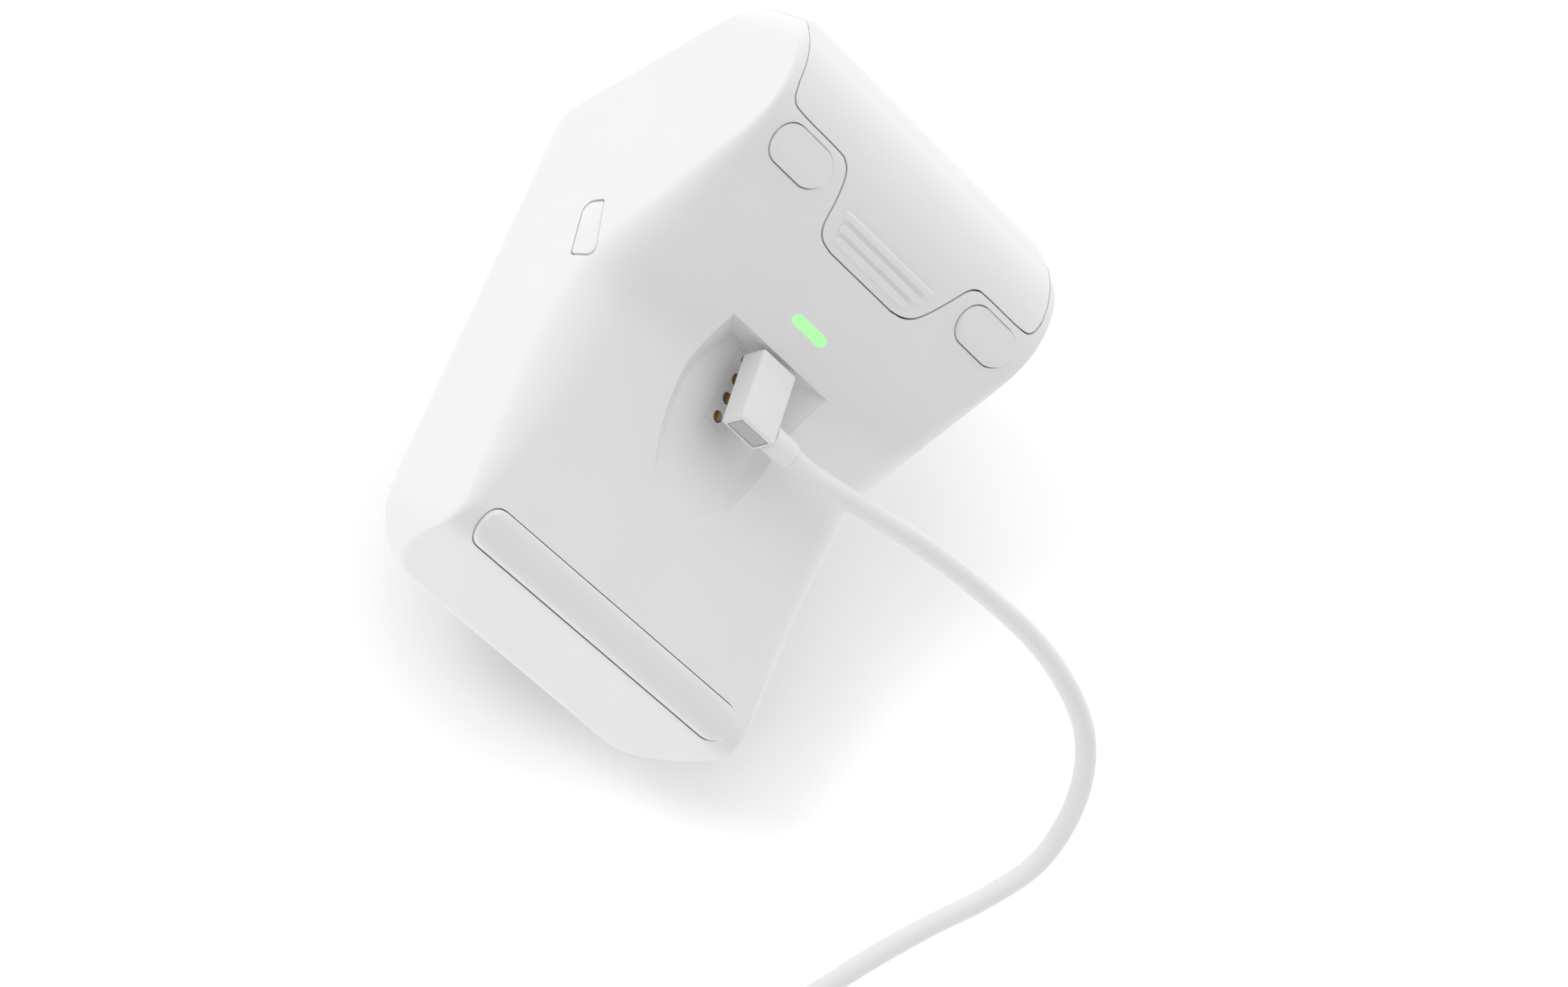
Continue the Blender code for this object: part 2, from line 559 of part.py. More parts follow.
DOOR_HOLLOW = [
    (84 * MM, 11.6 * MM, 1 * MM), (118.6 * MM, 0.4 * MM, 19.4 * MM), (137.6 * MM, 23.4 * MM, 11.6 * MM),
    (96.2 * MM, 62.3 * MM, 3 * MM), (84 * MM, 57.2 * MM, 1 * MM),
]
printer_door = body_form("printer_door", WHITE)
change(printer_door, door_space("door_shape", 0), "INTERSECT")
door_hollow = loft("door_hollow", DOOR_HOLLOW, DOOR_HALF - DOOR_WALL, (0.5 * MM, 7.4 * MM), (0.8 * MM, 0.8 * MM),
                   0.8 * MM, arc_steps=3)
cut(printer_door, door_hollow)
for side, word in ((1, "right"), (-1, "left")):
    cut(printer_door, rod(f"pin_hole_{word}", (side * 39 * MM, *HINGE), 1.3 * MM, 6 * MM, sides=14))
    cut(main_housing, rod(f"pin_seat_{word}", (side * 40.6 * MM, *HINGE), 1.3 * MM, 3.8 * MM, sides=14))
    rod(f"hinge_pin_{word}", (side * 40.1 * MM, *HINGE), 1.0 * MM, 4.2 * MM, STEEL, sides=14)

RIBS = [(13.6 * MM, 108.0 * MM), (12.2 * MM, 105.6 * MM), (10.8 * MM, 103.3 * MM)]
for number, (half, y) in enumerate(RIBS, 1):
    join(printer_door, flat_plate(f"grip_rib_{number}", stadium(half, 0.55 * MM, 4), 2.2 * MM,
                                  location=(0, y, under_rear_z(y) + 0.65 * MM + 0.35 * MM * (number == 1)),
                                  rotation=(-0.28, 0, 0)))

cheek = [(91.0 * MM, 51.0 * MM), (93.2 * MM, 48.4 * MM), (106.5 * MM, 47.6 * MM), (106.5 * MM, 51.2 * MM),
         (98.2 * MM, 58.4 * MM), (94.0 * MM, 56.4 * MM)]
door_frame = box("door_frame", (-34.4 * MM, 34.4 * MM), (103.4 * MM, 106.2 * MM), (47.9 * MM, 50.6 * MM), GREY)
for side, word in ((1, "right"), (-1, "left")):
    join(door_frame, flat_plate(f"frame_cheek_{word}", cheek, 1.6 * MM, location=(side * 33.6 * MM, 0, 0),
                                rotation=SIDEWAYS))
    cut(door_frame, rod(f"shaft_hole_{word}", (side * 33.6 * MM, *PLATEN), 1.8 * MM, 4 * MM, sides=16))
pivot("door_axis", (0, *HINGE), [printer_door, door_frame])
rod("platen_shaft", (-1.4 * MM, *PLATEN), 1.5 * MM, 72 * MM, STEEL, sides=16)
turned("platen_roller", tube_profile(1.8 * MM, PLATEN_RADIUS, 29.5 * MM), (0, *PLATEN), DARK_RUBBER)


def gear_centres():
    """Centres of the train from the motor to the platen; each pair stands its two pitch radii apart."""
    reach = {name: TEETH[name] * MODULE / 2 for name in TEETH}
    motor, platen = Vector(MOTOR), Vector(PLATEN)
    first = motor + (reach["motor_pinion"] + reach["motor_idler_gear"]) * Vector((math.cos(0.35), math.sin(0.35)))
    near = reach["motor_idler_gear"] + reach["platen_idler_gear"]
    far = reach["platen_idler_gear"] + reach["platen_gear"]
    line = platen - first
    along = (near ** 2 - far ** 2 + line.length ** 2) / (2 * line.length)
    across = math.sqrt(near ** 2 - along ** 2)
    unit = line.normalized()
    second = first + unit * along + Vector((-unit.y, unit.x)) * across
    return [("motor_pinion", motor), ("motor_idler_gear", first),
            ("platen_idler_gear", second), ("platen_gear", platen)]


def gear(name, centre, phase, hole):
    """A spur gear whose first tooth points along phase, in the (y, z) plane."""
    teeth = TEETH[name]
    pitch_radius = teeth * MODULE / 2
    pitch = 2 * math.pi / teeth
    outline = []
    for tooth in range(teeth):
        angle = phase + tooth * pitch
        for share, radius in ((-0.2, pitch_radius - 0.6 * MM), (-0.06, pitch_radius + 0.25 * MM),
                              (0.06, pitch_radius + 0.25 * MM), (0.2, pitch_radius - 0.6 * MM)):
            outline.append((radius * math.cos(angle + share * pitch), radius * math.sin(angle + share * pitch)))
    bore = arc((0, 0), hole, 360, 360 / 16, 15) if hole else None
    return flat_plate(name, outline, 2.0 * MM, GREY, (GEAR_X, *centre), SIDEWAYS, hole=bore)


train = gear_centres()
phase = 0.0
for k, (name, centre) in enumerate(train):
    if k:
        before_name, before = train[k - 1]
        line_angle = math.atan2(centre.y - before.y, centre.x - before.x)
        turned_by = (phase - line_angle) * TEETH[before_name] / TEETH[name]
        phase = line_angle + math.pi + math.pi / TEETH[name] - turned_by
    wheel = gear(name, centre, phase, {"motor_pinion": 0, "platen_gear": 1.8}.get(name, 1.5) * MM)
    if name == "motor_pinion":
        join(wheel, rod("pinion_boss", (GEAR_X + 1.4 * MM, *centre), 1.2 * MM, 1.0 * MM, sides=12))
    if "idler" in name:
        rod(name.replace("gear", "pin"), (GEAR_X - 1.2 * MM, *centre), 1.2 * MM, 5.2 * MM, STEEL, sides=14)
rod("feed_motor", (-28 * MM, *MOTOR), 7.0 * MM, 12 * MM, STEEL, sides=24)

box("print_head", (-28 * MM, 28 * MM), (88.4 * MM, 90.0 * MM), (44.5 * MM, 54.5 * MM), BLACK)
printer_frame = box("printer_frame", (-31.2 * MM, 31.2 * MM), (83.0 * MM, 84.2 * MM), (42 * MM, 51.6 * MM), STEEL)
for side, word in ((1, "right"), (-1, "left")):
    xs = sorted((side * 30.2 * MM, side * 31.2 * MM))
    join(printer_frame, box(f"frame_arm_{word}", xs, (83.5 * MM, 92 * MM), (46.6 * MM, 51.6 * MM)))
box("tear_bar", (-29 * MM, 29 * MM), (slope_end + 0.3 * MM, slope_end + 0.6 * MM), (-2.6 * MM, -0.3 * MM), STEEL,
    **top_frame)


def coil_spring(name, centre, radius, length, thickness, turns):
    """A compression spring along y."""
    steps = turns * 8
    points = []
    for k in range(steps + 1):
        angle = 2 * math.pi * k / 8
        points.append((radius * math.cos(angle), length * (k / steps - 0.5), radius * math.sin(angle)))
    wire(name, points, thickness, STEEL, centre)


for side, word in ((1, "right"), (-1, "left")):
    coil_spring(f"head_spring_{word}", (side * 14 * MM, 86.3 * MM, 48.5 * MM), 1.7 * MM, 3.0 * MM, 0.25 * MM, 4)

trough = arc(ROLL, 21.0 * MM, 105, 212, 12) + arc(ROLL, 20.0 * MM, 212, 105, 12)
flat_plate("paper_trough", trough, 61 * MM, GREY, rotation=SIDEWAYS)
turned("paper_roll", tube_profile(6.3 * MM, ROLL_RADIUS, 28.5 * MM), (0, *ROLL), PAPER, steps=36)

# ---- charging plug, cord and the far end's plug ------------------------------------------------------

plug_frame = {"location": PLUG_REST, "tilt": PLUG_TILT}
half_x, half_y, half_z = (size / 2 for size in PLUG)
plug_shell = box("plug_shell", (-half_x, half_x), (-half_y, half_y), (-half_z, half_z), WHITE, **plug_frame,
                 round_edges=0.7 * MM)
cut(plug_shell,
    box("plug_pocket", (-4.2 * MM, 4.2 * MM), (-7.4 * MM, 7.4 * MM), (-0.6 * MM, 5 * MM), **plug_frame),
    box("cap_pocket", (-4.2 * MM, 4.2 * MM), (-12 * MM, -half_y + 0.65 * MM), (-2.1 * MM, 2.1 * MM), **plug_frame))
plug_end_cap = box("plug_end_cap", (-3.9 * MM, 3.9 * MM), (-half_y + 0.1 * MM, -half_y + 0.35 * MM),
                   (-1.8 * MM, 1.8 * MM), GREY, **plug_frame)
plug_magnet = box("plug_magnet", (-3.9 * MM, 3.9 * MM), (-7.1 * MM, 7.1 * MM), (-0.3 * MM, 0.9 * MM), STEEL,
                  **plug_frame)
plug_core = box("plug_core", (-3.9 * MM, 3.9 * MM), (-7.1 * MM, 7.1 * MM), (1.2 * MM, 2.9 * MM), BLACK, **plug_frame)
turn_to_plug = Matrix.Rotation(PLUG_TILT, 4, "X")
for number, y in enumerate(PAD_YS, 1):
    along = (y - (PAD_YS[0] + PAD_YS[3]) / 2) / math.cos(DOCK_TILT) * 0.9 + 0.3 * MM
    place_at = PLUG_REST + turn_to_plug @ Vector((0, along, 2.4 * MM))
    pin = rod(f"pogo_pin_{number}", place_at, 0.7 * MM, 1.7 * MM, axis="Z", sides=12)
    pin.rotation_euler = (PLUG_TILT, 0, 0)
    join(plug_core, pin)

lead_axis = PLUG_REST + turn_to_plug @ Vector((0, LEAD_OFFSET, 0))
pivot("plug_axis", lead_axis, [plug_shell, plug_end_cap, plug_magnet, plug_core])
RELIEF_LENGTH = 6.6 * MM
relief_x = PLUG_REST.x - half_x - GAP - RELIEF_LENGTH / 2
rod("strain_relief", (relief_x, lead_axis.y, lead_axis.z), 2.9 * MM, RELIEF_LENGTH, WHITE, sides=24)
cord_exit = Vector((relief_x - RELIEF_LENGTH / 2 - GAP, lead_axis.y, lead_axis.z))

CORD_ROUTE = [
    cord_exit,
    *(Vector(point) * MM for point in (
        (-18, 65.6, 5.3), (-24, 66.2, 4.4), (-30.5, 67.1, 3.3), (-37.5, 68.2, 2.6), (-51, 70.1, 2.4), (-69.4, 71.5, 2.4),
        (-89, 71.4, 2.4), (-105.6, 67.8, 2.4), (-116.2, 61.4, 2.4), (-122.3, 51, 2.4), (-123.3, 37.6, 2.4),
        (-117.6, 24.4, 2.4), (-109.2, 11.2, 2.4), (-101.8, -2.0, 2.4), (-94.2, -17.3, 2.4))),
]


def smooth_path(route, spacing):
    """Points at about the given spacing along a centripetal curve through the route."""
    path = []
    ends = [route[0] * 2 - route[1]] + route + [route[-1] * 2 - route[-2]]
    for before, start, end, after in zip(ends, ends[1:], ends[2:], ends[3:]):
        steps = max(1, round((end - start).length / spacing))
        for k in range(steps):
            t = k / steps
            path.append(0.5 * (2 * start + (end - before) * t + (2 * before - 5 * start + 4 * end - after) * t ** 2
                               + (3 * start - before - 3 * end + after) * t ** 3))
    return path + [route[-1]]


wire("charge_cord", smooth_path(CORD_ROUTE, 9 * MM), CORD_RADIUS, WHITE, resolution=2)

COIL = Vector((-111.5 * MM, -47.5 * MM, 0))
COIL_RADIUS = 25.3 * MM
TURNS_WIDE, TURNS_HIGH = 3, 2
coil_half = TURNS_WIDE * CORD_RADIUS
coil_top = 2 * TURNS_HIGH * CORD_RADIUS + 0.2 * MM
coil_inner, coil_outer = COIL_RADIUS - coil_half, COIL_RADIUS + coil_half
coil_section = [(coil_outer, coil_top), (coil_outer, 0.1 * MM), (coil_inner, 0.1 * MM), (coil_inner, coil_top)]
turned("cord_coil", coil_section, COIL, WHITE, axis="Z", steps=40)

# The far end lies beside the coil, along the line that leaves its outer turn
leave_angle = math.radians(29.4)
leave_from = COIL + (COIL_RADIUS + 2 * CORD_RADIUS) * Vector((math.cos(leave_angle), math.sin(leave_angle), 0))
leave_along = Vector((math.sin(leave_angle), -math.cos(leave_angle), 0))


def far_end_box(name, start, length, width, height, look, round_edges=0.0):
    piece = box(name, (-width / 2, width / 2), (start, start + length), (-height / 2, height / 2), look,
                leave_from + Vector((0, 0, 4.1 * MM)), 0.0, round_edges)
    piece.rotation_euler = (0, 0, math.atan2(-leave_along.x, leave_along.y))
    return piece


relief_at = leave_from + leave_along * 22.6 * MM + Vector((0, 0, 4.1 * MM))
usb_relief = rod("usb_relief", relief_at, 2.8 * MM, 9 * MM, WHITE, axis="Z", sides=16, tip=3.4 * MM)
usb_relief.rotation_euler = (math.pi / 2, 0, math.atan2(leave_along.x, -leave_along.y))
far_end_box("usb_overmold", 27.5 * MM, 24 * MM, 15 * MM, 7.8 * MM, WHITE, 1.2 * MM)
far_end_box("usb_shell", 51.8 * MM, 12 * MM, 12 * MM, 4.5 * MM, STEEL)
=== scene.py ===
# %% [markdown]
# # A card terminal with a receipt printer, and its magnetic charging cable
#
# The CAD model is the frame of everything here. This script covers it with finer skins of the same form, lays the
# cable's cord, mixes every material from procedural textures, and lights the plastic softly from overhead.

import json
import math

import bmesh
import bpy
from mathutils import Matrix, Vector

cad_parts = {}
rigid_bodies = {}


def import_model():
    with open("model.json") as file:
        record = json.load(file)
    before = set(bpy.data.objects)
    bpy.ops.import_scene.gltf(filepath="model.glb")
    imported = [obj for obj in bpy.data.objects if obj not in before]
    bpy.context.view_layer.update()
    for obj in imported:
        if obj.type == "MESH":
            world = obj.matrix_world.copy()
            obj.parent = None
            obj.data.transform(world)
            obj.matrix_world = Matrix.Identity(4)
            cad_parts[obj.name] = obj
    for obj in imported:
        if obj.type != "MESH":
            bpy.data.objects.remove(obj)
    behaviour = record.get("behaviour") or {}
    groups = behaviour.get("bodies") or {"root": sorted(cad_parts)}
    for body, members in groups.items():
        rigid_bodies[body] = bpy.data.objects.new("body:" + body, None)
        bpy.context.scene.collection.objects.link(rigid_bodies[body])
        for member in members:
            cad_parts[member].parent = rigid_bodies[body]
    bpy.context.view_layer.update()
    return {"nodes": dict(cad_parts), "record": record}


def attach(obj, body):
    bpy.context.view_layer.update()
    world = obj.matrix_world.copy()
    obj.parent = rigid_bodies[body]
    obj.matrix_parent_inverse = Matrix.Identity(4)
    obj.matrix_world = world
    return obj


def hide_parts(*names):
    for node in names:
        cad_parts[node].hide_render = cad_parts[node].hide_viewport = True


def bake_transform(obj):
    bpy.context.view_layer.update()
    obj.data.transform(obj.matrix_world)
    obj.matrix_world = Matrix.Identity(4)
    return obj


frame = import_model()

# %% [markdown]
# ## Driving sizes
# All shapes are worked out in the design frame: x to the right, y from the front edge towards the rear, z up from
# the surface that the feet stand on. The CAD model has its origin MIDDLE_Y behind the front edge.

# %% Units
MM = 0.001
GAP = 0.3 * MM

# %% Driving sizes of the terminal
WIDTH = 86.0 * MM
MIDDLE_Y = 68.145 * MM
PEAK = (96.8 * MM, 65.2 * MM)
TOP_TILT = math.radians(22.7)
REAR_TILT = math.radians(43.6)
UNDER_FRONT_SLOPE = 0.2456
UNDER_REAR_SLOPE = 0.33
LID_DEPTH = 5.6 * MM            # how far the display bezel reaches down from the sloped top
PLAN_RADIUS_FRONT = 12.9 * MM
PLAN_RADIUS_REAR = 9.5 * MM
SIDE_ROUND = (1.2 * MM, 10.4 * MM)   # rounding of the lower side edges: at the ends, and halfway along
TOP_ROUND = 2.4 * MM

# %% Sizes of the feet
FRONT_FOOT = (34.2 * MM, 15.3 * MM, 4.15 * MM)
REAR_FOOT = (30.4 * MM, 109.9 * MM, 4.3 * MM, 3.6 * MM)

# %% Sizes of the printer door
DOOR_HALF = 40.2 * MM
DOOR_WALL = 2.4 * MM
DOOR_FRONT_Y = 116.1 * MM
TAB = (100.8 * MM, 13.0 * MM, 20.5 * MM)    # front edge of the tab, its half width there, half width at its root
HINGE = (97.4 * MM, 60.2 * MM)
SLOT = (90.4 * MM, 93.2 * MM)

# %% Size of the paper roll
ROLL = (104.0 * MM, 25.4 * MM)

# %% Sizes of the charging dock and plug
DOCK_REAR_Y = 79.9 * MM
DOCK_FRONT_Y = 41.0 * MM
DOCK_HALF = 15.0 * MM
DOCK_FLOOR = (67.8 * MM, 16.6 * MM, 0.31)   # a point of the floor, and its slope
DOCK_TILT = math.atan(DOCK_FLOOR[2])
PAD_YS = [(63.5 + 4.25 * step) * MM for step in range(4)]
PLUG = (10.3 * MM, 17.0 * MM, 6.0 * MM)
PLUG_REST = Vector((-0.6 * MM, 70.3 * MM, 8.1 * MM))
PLUG_TILT = math.radians(29.0)
LEAD_OFFSET = -5.4 * MM          # the cord leaves this far in front of the plug's middle
CORD_RADIUS = 2.3 * MM

# %% The scene
scene = bpy.context.scene

# %% [markdown]
# ## Camera
# Its three axes are measured directions, made square to each other before use.

# %% Camera
camera_data = bpy.data.cameras.new("camera")
camera_data.lens = 108.96
camera_data.sensor_width = 36.0
camera_data.clip_end = 20.0
camera = bpy.data.objects.new("camera", camera_data)
scene.collection.objects.link(camera)
scene.camera = camera
FORWARD = Vector((-0.55908, 0.14560, 0.81623)).normalized()
UP = Vector((0.55938, 0.79288, 0.24171))
RIGHT = FORWARD.cross(UP).normalized()
UP = RIGHT.cross(FORWARD)
turn = Matrix((RIGHT, UP, -FORWARD)).transposed().to_4x4()
camera.matrix_world = Matrix.Translation((0.51161, -0.07845 - MIDDLE_Y, -0.76644)) @ turn

# %% [markdown]
# ## Building blocks
# Pieces are drafted under one empty that carries the design frame, then settled: their modifiers are applied and
# their points are stored in the row frame, on an object that sits unturned at the origin.

# %% The empty that drafts hang on
design = bpy.data.objects.new("design_frame", None)
design.location = (0, -MIDDLE_Y, 0)
scene.collection.objects.link(design)
drafts = bpy.data.collections.new("drafts")
scene.collection.children.link(drafts)


# %% Drafting and settling a piece
def place(name, mesh, location=(0, 0, 0), rotation=(0, 0, 0)):
    """A draft on the design's empty: a shape that is still to be cut, or that cuts."""
    piece = bpy.data.objects.new(name + "_draft", mesh)
    piece.parent = design
    piece.location = location
    piece.rotation_euler = rotation
    piece.hide_render = True
    drafts.objects.link(piece)
    return piece


def mesh_from(bm, name):
    bmesh.ops.recalc_face_normals(bm, faces=bm.faces)
    mesh = bpy.data.meshes.new(name)
    bm.to_mesh(mesh)
    bm.free()
    return mesh


def settle(draft, name, material, body, nodes=(), sharp=30):
    """The finished piece: modifiers applied, points in the row frame, riding on its body in place of CAD nodes."""
    bpy.context.view_layer.update()
    depsgraph = bpy.context.evaluated_depsgraph_get()
    mesh = bpy.data.meshes.new_from_object(draft.evaluated_get(depsgraph), depsgraph=depsgraph)
    mesh.transform(draft.matrix_world)
    mesh.name = name
    mesh.materials.clear()
    mesh.materials.append(material)
    mesh.shade_smooth()
    mesh.set_sharp_from_angle(angle=math.radians(sharp))
    piece = bpy.data.objects.new(name, mesh)
    scene.collection.objects.link(piece)
    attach(piece, body)
    if nodes:
        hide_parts(*nodes)
    return piece


# %% Boxes, rods and flat plates
def box(name, xs, ys, zs, location=(0, 0, 0), tilt=0.0, round_edges=0.0, segments=4):
    bm = bmesh.new()
    bmesh.ops.create_cube(bm, size=1.0)
    for vert in bm.verts:
        for axis, limits in enumerate((xs, ys, zs)):
            vert.co[axis] = limits[0] if vert.co[axis] < 0 else limits[1]
    if round_edges:
        bmesh.ops.bevel(bm, geom=list(bm.edges), offset=round_edges, segments=segments, profile=0.5, affect="EDGES")
    return place(name, mesh_from(bm, name), location, (tilt, 0, 0))


def rod(name, centre, radius, length, axis="X", sides=48, round_ends=0.0):
    bm = bmesh.new()
    bmesh.ops.create_cone(bm, cap_ends=True, segments=sides, radius1=radius, radius2=radius, depth=length)
    if round_ends:
        rims = [edge for edge in bm.edges if abs(edge.verts[0].co.z - edge.verts[1].co.z) < length / 4]
        bmesh.ops.bevel(bm, geom=rims, offset=round_ends, segments=4, profile=0.5, affect="EDGES")
    turn = {"X": (0, math.pi / 2, 0), "Y": (-math.pi / 2, 0, 0), "Z": (0, 0, 0)}[axis]
    return place(name, mesh_from(bm, name), centre, turn)


def flat_plate(name, points, thickness, location=(0, 0, 0), rotation=(0, 0, 0), round_edges=0.0):
    """A flat outline given thickness about its plane."""
    bm = bmesh.new()
    face = bm.faces.new([bm.verts.new((u, v, -thickness / 2)) for u, v in points])
    raised = bmesh.ops.extrude_face_region(bm, geom=[face])
    for vert in raised["geom"]:
        if isinstance(vert, bmesh.types.BMVert):
            vert.co.z = thickness / 2
    if round_edges:
        rims = [edge for edge in bm.edges if abs(edge.verts[0].co.z - edge.verts[1].co.z) < thickness / 4]
        bmesh.ops.bevel(bm, geom=rims, offset=round_edges, segments=3, profile=0.5, affect="EDGES")
    return place(name, mesh_from(bm, name), location, rotation)


# %% Flat outlines
def arc(centre, radius, start, end, steps):
    """Points along an arc, angles in degrees."""
    angles = [math.radians(start + (end - start) * k / steps) for k in range(steps + 1)]
    return [(centre[0] + radius * math.cos(a), centre[1] + radius * math.sin(a)) for a in angles]


def stadium(half_run, radius, steps=20):
    return arc((half_run, 0), radius, -90, 90, steps) + arc((-half_run, 0), radius, 90, 270, steps)


def rounded(corners, steps=8):
    """A closed outline whose corners (u, v, radius) are turned into arcs."""
    outline = []
    for k, (u, v, radius) in enumerate(corners):
        corner = Vector((u, v))
        before = (Vector(corners[k - 1][:2]) - corner).normalized()
        after = (Vector(corners[(k + 1) % len(corners)][:2]) - corner).normalized()
        half = before.angle(after) / 2
        middle = corner + (before + after).normalized() * radius / math.sin(half)
        first = corner + before * radius / math.tan(half) - middle
        last = corner + after * radius / math.tan(half) - middle
        start = math.atan2(first.y, first.x)
        sweep = (math.atan2(last.y, last.x) - start + math.pi) % (2 * math.pi) - math.pi
        for step in range(steps + 1):
            angle = start + sweep * step / steps
            outline.append((middle.x + radius * math.cos(angle), middle.y + radius * math.sin(angle)))
    return outline


# %% Cutting and joining
def change(piece, tool, operation):
    boolean = piece.modifiers.new(tool.name, "BOOLEAN")
    boolean.operation = operation
    boolean.object = tool
    boolean.solver = "EXACT"


def cut(piece, *tools):
    for tool in tools:
        change(piece, tool, "DIFFERENCE")


def join(piece, *tools):
    for tool in tools:
        change(piece, tool, "UNION")


# %% [markdown]
# ## The terminal's form
# The side outline gives each upright section its height, and the plan corners give its width. The sections are close
# together, so that the soft body shades evenly.

# %% Heights along the side outline
def top_z(y):
    return PEAK[1] - (PEAK[0] - y) * math.tan(TOP_TILT)


def rear_z(y):
    return PEAK[1] - (y - PEAK[0]) * math.tan(REAR_TILT)


def under_front_z(y):
    return 0.6 * MM + (y - FRONT_FOOT[1]) * UNDER_FRONT_SLOPE


def under_rear_z(y):
    return (110.5 * MM - y) * UNDER_REAR_SLOPE


# %% The side outline and its rounding
def crossing(chain, y):
    """Height of a chain of (y, z) points, ordered along y, at y."""
    for (y0, z0), (y1, z1) in zip(chain, chain[1:]):
        if y0 <= y <= y1 and y1 > y0:
            return z0 + (z1 - z0) * (y - y0) / (y1 - y0)
    return chain[0][1] if y < chain[0][0] else chain[-1][1]


def side_round(y, ends):
    share = min(max((y - 8 * MM) / (108 * MM), 0), 1)
    return ends[0] + (ends[1] - ends[0]) * math.sin(math.pi * share) ** 1.5


def body_chains(corners, arc_steps):
    """The side outline as its lower and upper chains of (y, z) points, both ordered along y."""
    outline = rounded(corners, arc_steps)
    first = min(range(len(outline)), key=lambda k: outline[k][0])
    last = max(range(len(outline)), key=lambda k: outline[k][0])
    count = len(outline)
    lower = [outline[(first + k) % count] for k in range((last - first) % count + 1)]
    upper = [outline[(first - k) % count] for k in range((first - last) % count + 1)]
    return lower, upper


# %% The body as a stack of sections
def spread(start, end, steps):
    return [start + (end - start) * k / steps for k in range(steps)]


def loft(name, corners, half, plan_radii, ends, top_round, arc_steps=14, spacing=1.3 * MM):
    """A body of upright sections along y, every section a ring of evenly spread points."""
    lower, upper = body_chains(corners, arc_steps)
    y0, y1 = lower[0][0], lower[-1][0]
    front, rear = plan_radii
    wanted = [y0 + 0.05 * MM, y1 - 0.05 * MM] + spread(y0, y1, round((y1 - y0) / spacing))
    for angle in range(4, 91, 5):
        bend = 1 - math.sin(math.radians(angle))
        wanted += [y0 + front * bend, y1 - rear * bend]
    stations = []
    for y in sorted(wanted):
        if y0 < y < y1 and (not stations or y - stations[-1] > 0.3 * MM or y < y0 + 0.3 * MM):
            stations.append(y)
    bm = bmesh.new()
    rings = []
    for y in stations:
        low, high = crossing(lower, y), crossing(upper, y)
        reach = half
        if y < y0 + front:
            reach = half - front + math.sqrt(front ** 2 - (y0 + front - y) ** 2)
        elif y > y1 - rear:
            reach = half - rear + math.sqrt(max(rear ** 2 - (y - y1 + rear) ** 2, 0))
        lower_round = min(side_round(y, ends), 0.55 * (high - low))
        upper_round = min(top_round, 0.35 * (high - low))
        flat_low, flat_high = reach - lower_round, reach - upper_round
        section = [(x, low) for x in spread(0, flat_low, 26)]
        section += arc((flat_low, low + lower_round), lower_round, -90, 0, 9)[:-1]
        section += [(reach, z) for z in spread(low + lower_round, high - upper_round, 22)]
        section += arc((flat_high, high - upper_round), upper_round, 0, 90, 5)[:-1]
        section += [(x, high) for x in spread(flat_high, 0, 26)]
        section += [(0, high)] + [(-x, z) for x, z in reversed(section[1:])]
        rings.append([bm.verts.new((x, y, z)) for x, z in section])
    for ring, following in zip(rings, rings[1:]):
        for k in range(len(ring)):
            n = (k + 1) % len(ring)
            bm.faces.new((ring[k], ring[n], following[n], following[k]))
    bm.faces.new(rings[0])
    bm.faces.new(rings[-1])
    return place(name, mesh_from(bm, name))


# %% Corners of the body and of its hollow
BODY_CORNERS = [
    (-1.26 * MM, top_z(-1.26 * MM), 3.1 * MM),
    (12.5 * MM, under_front_z(12.5 * MM), 7.0 * MM),
    (68.8 * MM, under_rear_z(68.8 * MM), 15.6 * MM),
    (120.8 * MM, under_rear_z(120.8 * MM), 21.8 * MM),
    (141.0 * MM, rear_z(141.0 * MM), 14.0 * MM),
    (PEAK[0], PEAK[1], 5.4 * MM),
]
HOLLOW_CORNERS = [
    (3.4 * MM, 23.5 * MM, 1.0 * MM),
    (18.6 * MM, 4.0 * MM, 5.0 * MM),
    (42.0 * MM, 9.9 * MM, 3.0 * MM),
    (52.0 * MM, 16.0 * MM, 3.0 * MM),
    (82.2 * MM, 24.2 * MM, 0.8 * MM),
    (83.0 * MM, 12.4 * MM, 1.0 * MM),
    (107.0 * MM, 3.8 * MM, 4.0 * MM),
    (117.0 * MM, 3.6 * MM, 1.0 * MM),
    (118.0 * MM, 42.0 * MM, 1.0 * MM),
    (96.0 * MM, 60.0 * MM, 1.0 * MM),
]


lower_chain = body_chains(BODY_CORNERS, 14)[0]


def skin_z(y):
    """Height of the underside on the middle line."""
    return crossing(lower_chain, y)


def body_form(name):
    return loft(name, BODY_CORNERS, WIDTH / 2, (PLAN_RADIUS_FRONT, PLAN_RADIUS_REAR), SIDE_ROUND, TOP_ROUND)


# %% Mirrored and softened lines
def seen_from_above(side_points):
    """A closed outline, symmetric about x = 0, from the points of its right half."""
    return side_points + [(-x, y) for x, y in reversed(side_points)]


def softened(points, steps=5):
    """An open line of (x, y) points, run through by a smooth curve."""
    route = [Vector(point) for point in points]
    return [tuple(point) for point in smooth_path(route, None, steps)]


def smooth_path(route, spacing, steps=None):
    """Points at about the given spacing along a uniform Catmull-Rom curve through the route."""
    path = []
    ends = [route[0] * 2 - route[1]] + route + [route[-1] * 2 - route[-2]]
    for before, start, end, after in zip(ends, ends[1:], ends[2:], ends[3:]):
        count = steps or max(1, round((end - start).length / spacing))
        for k in range(count):
            t = k / count
            path.append(0.5 * (2 * start + (end - before) * t + (2 * before - 5 * start + 4 * end - after) * t ** 2
                               + (3 * start - before - 3 * end + after) * t ** 3))
    return path + [route[-1]]


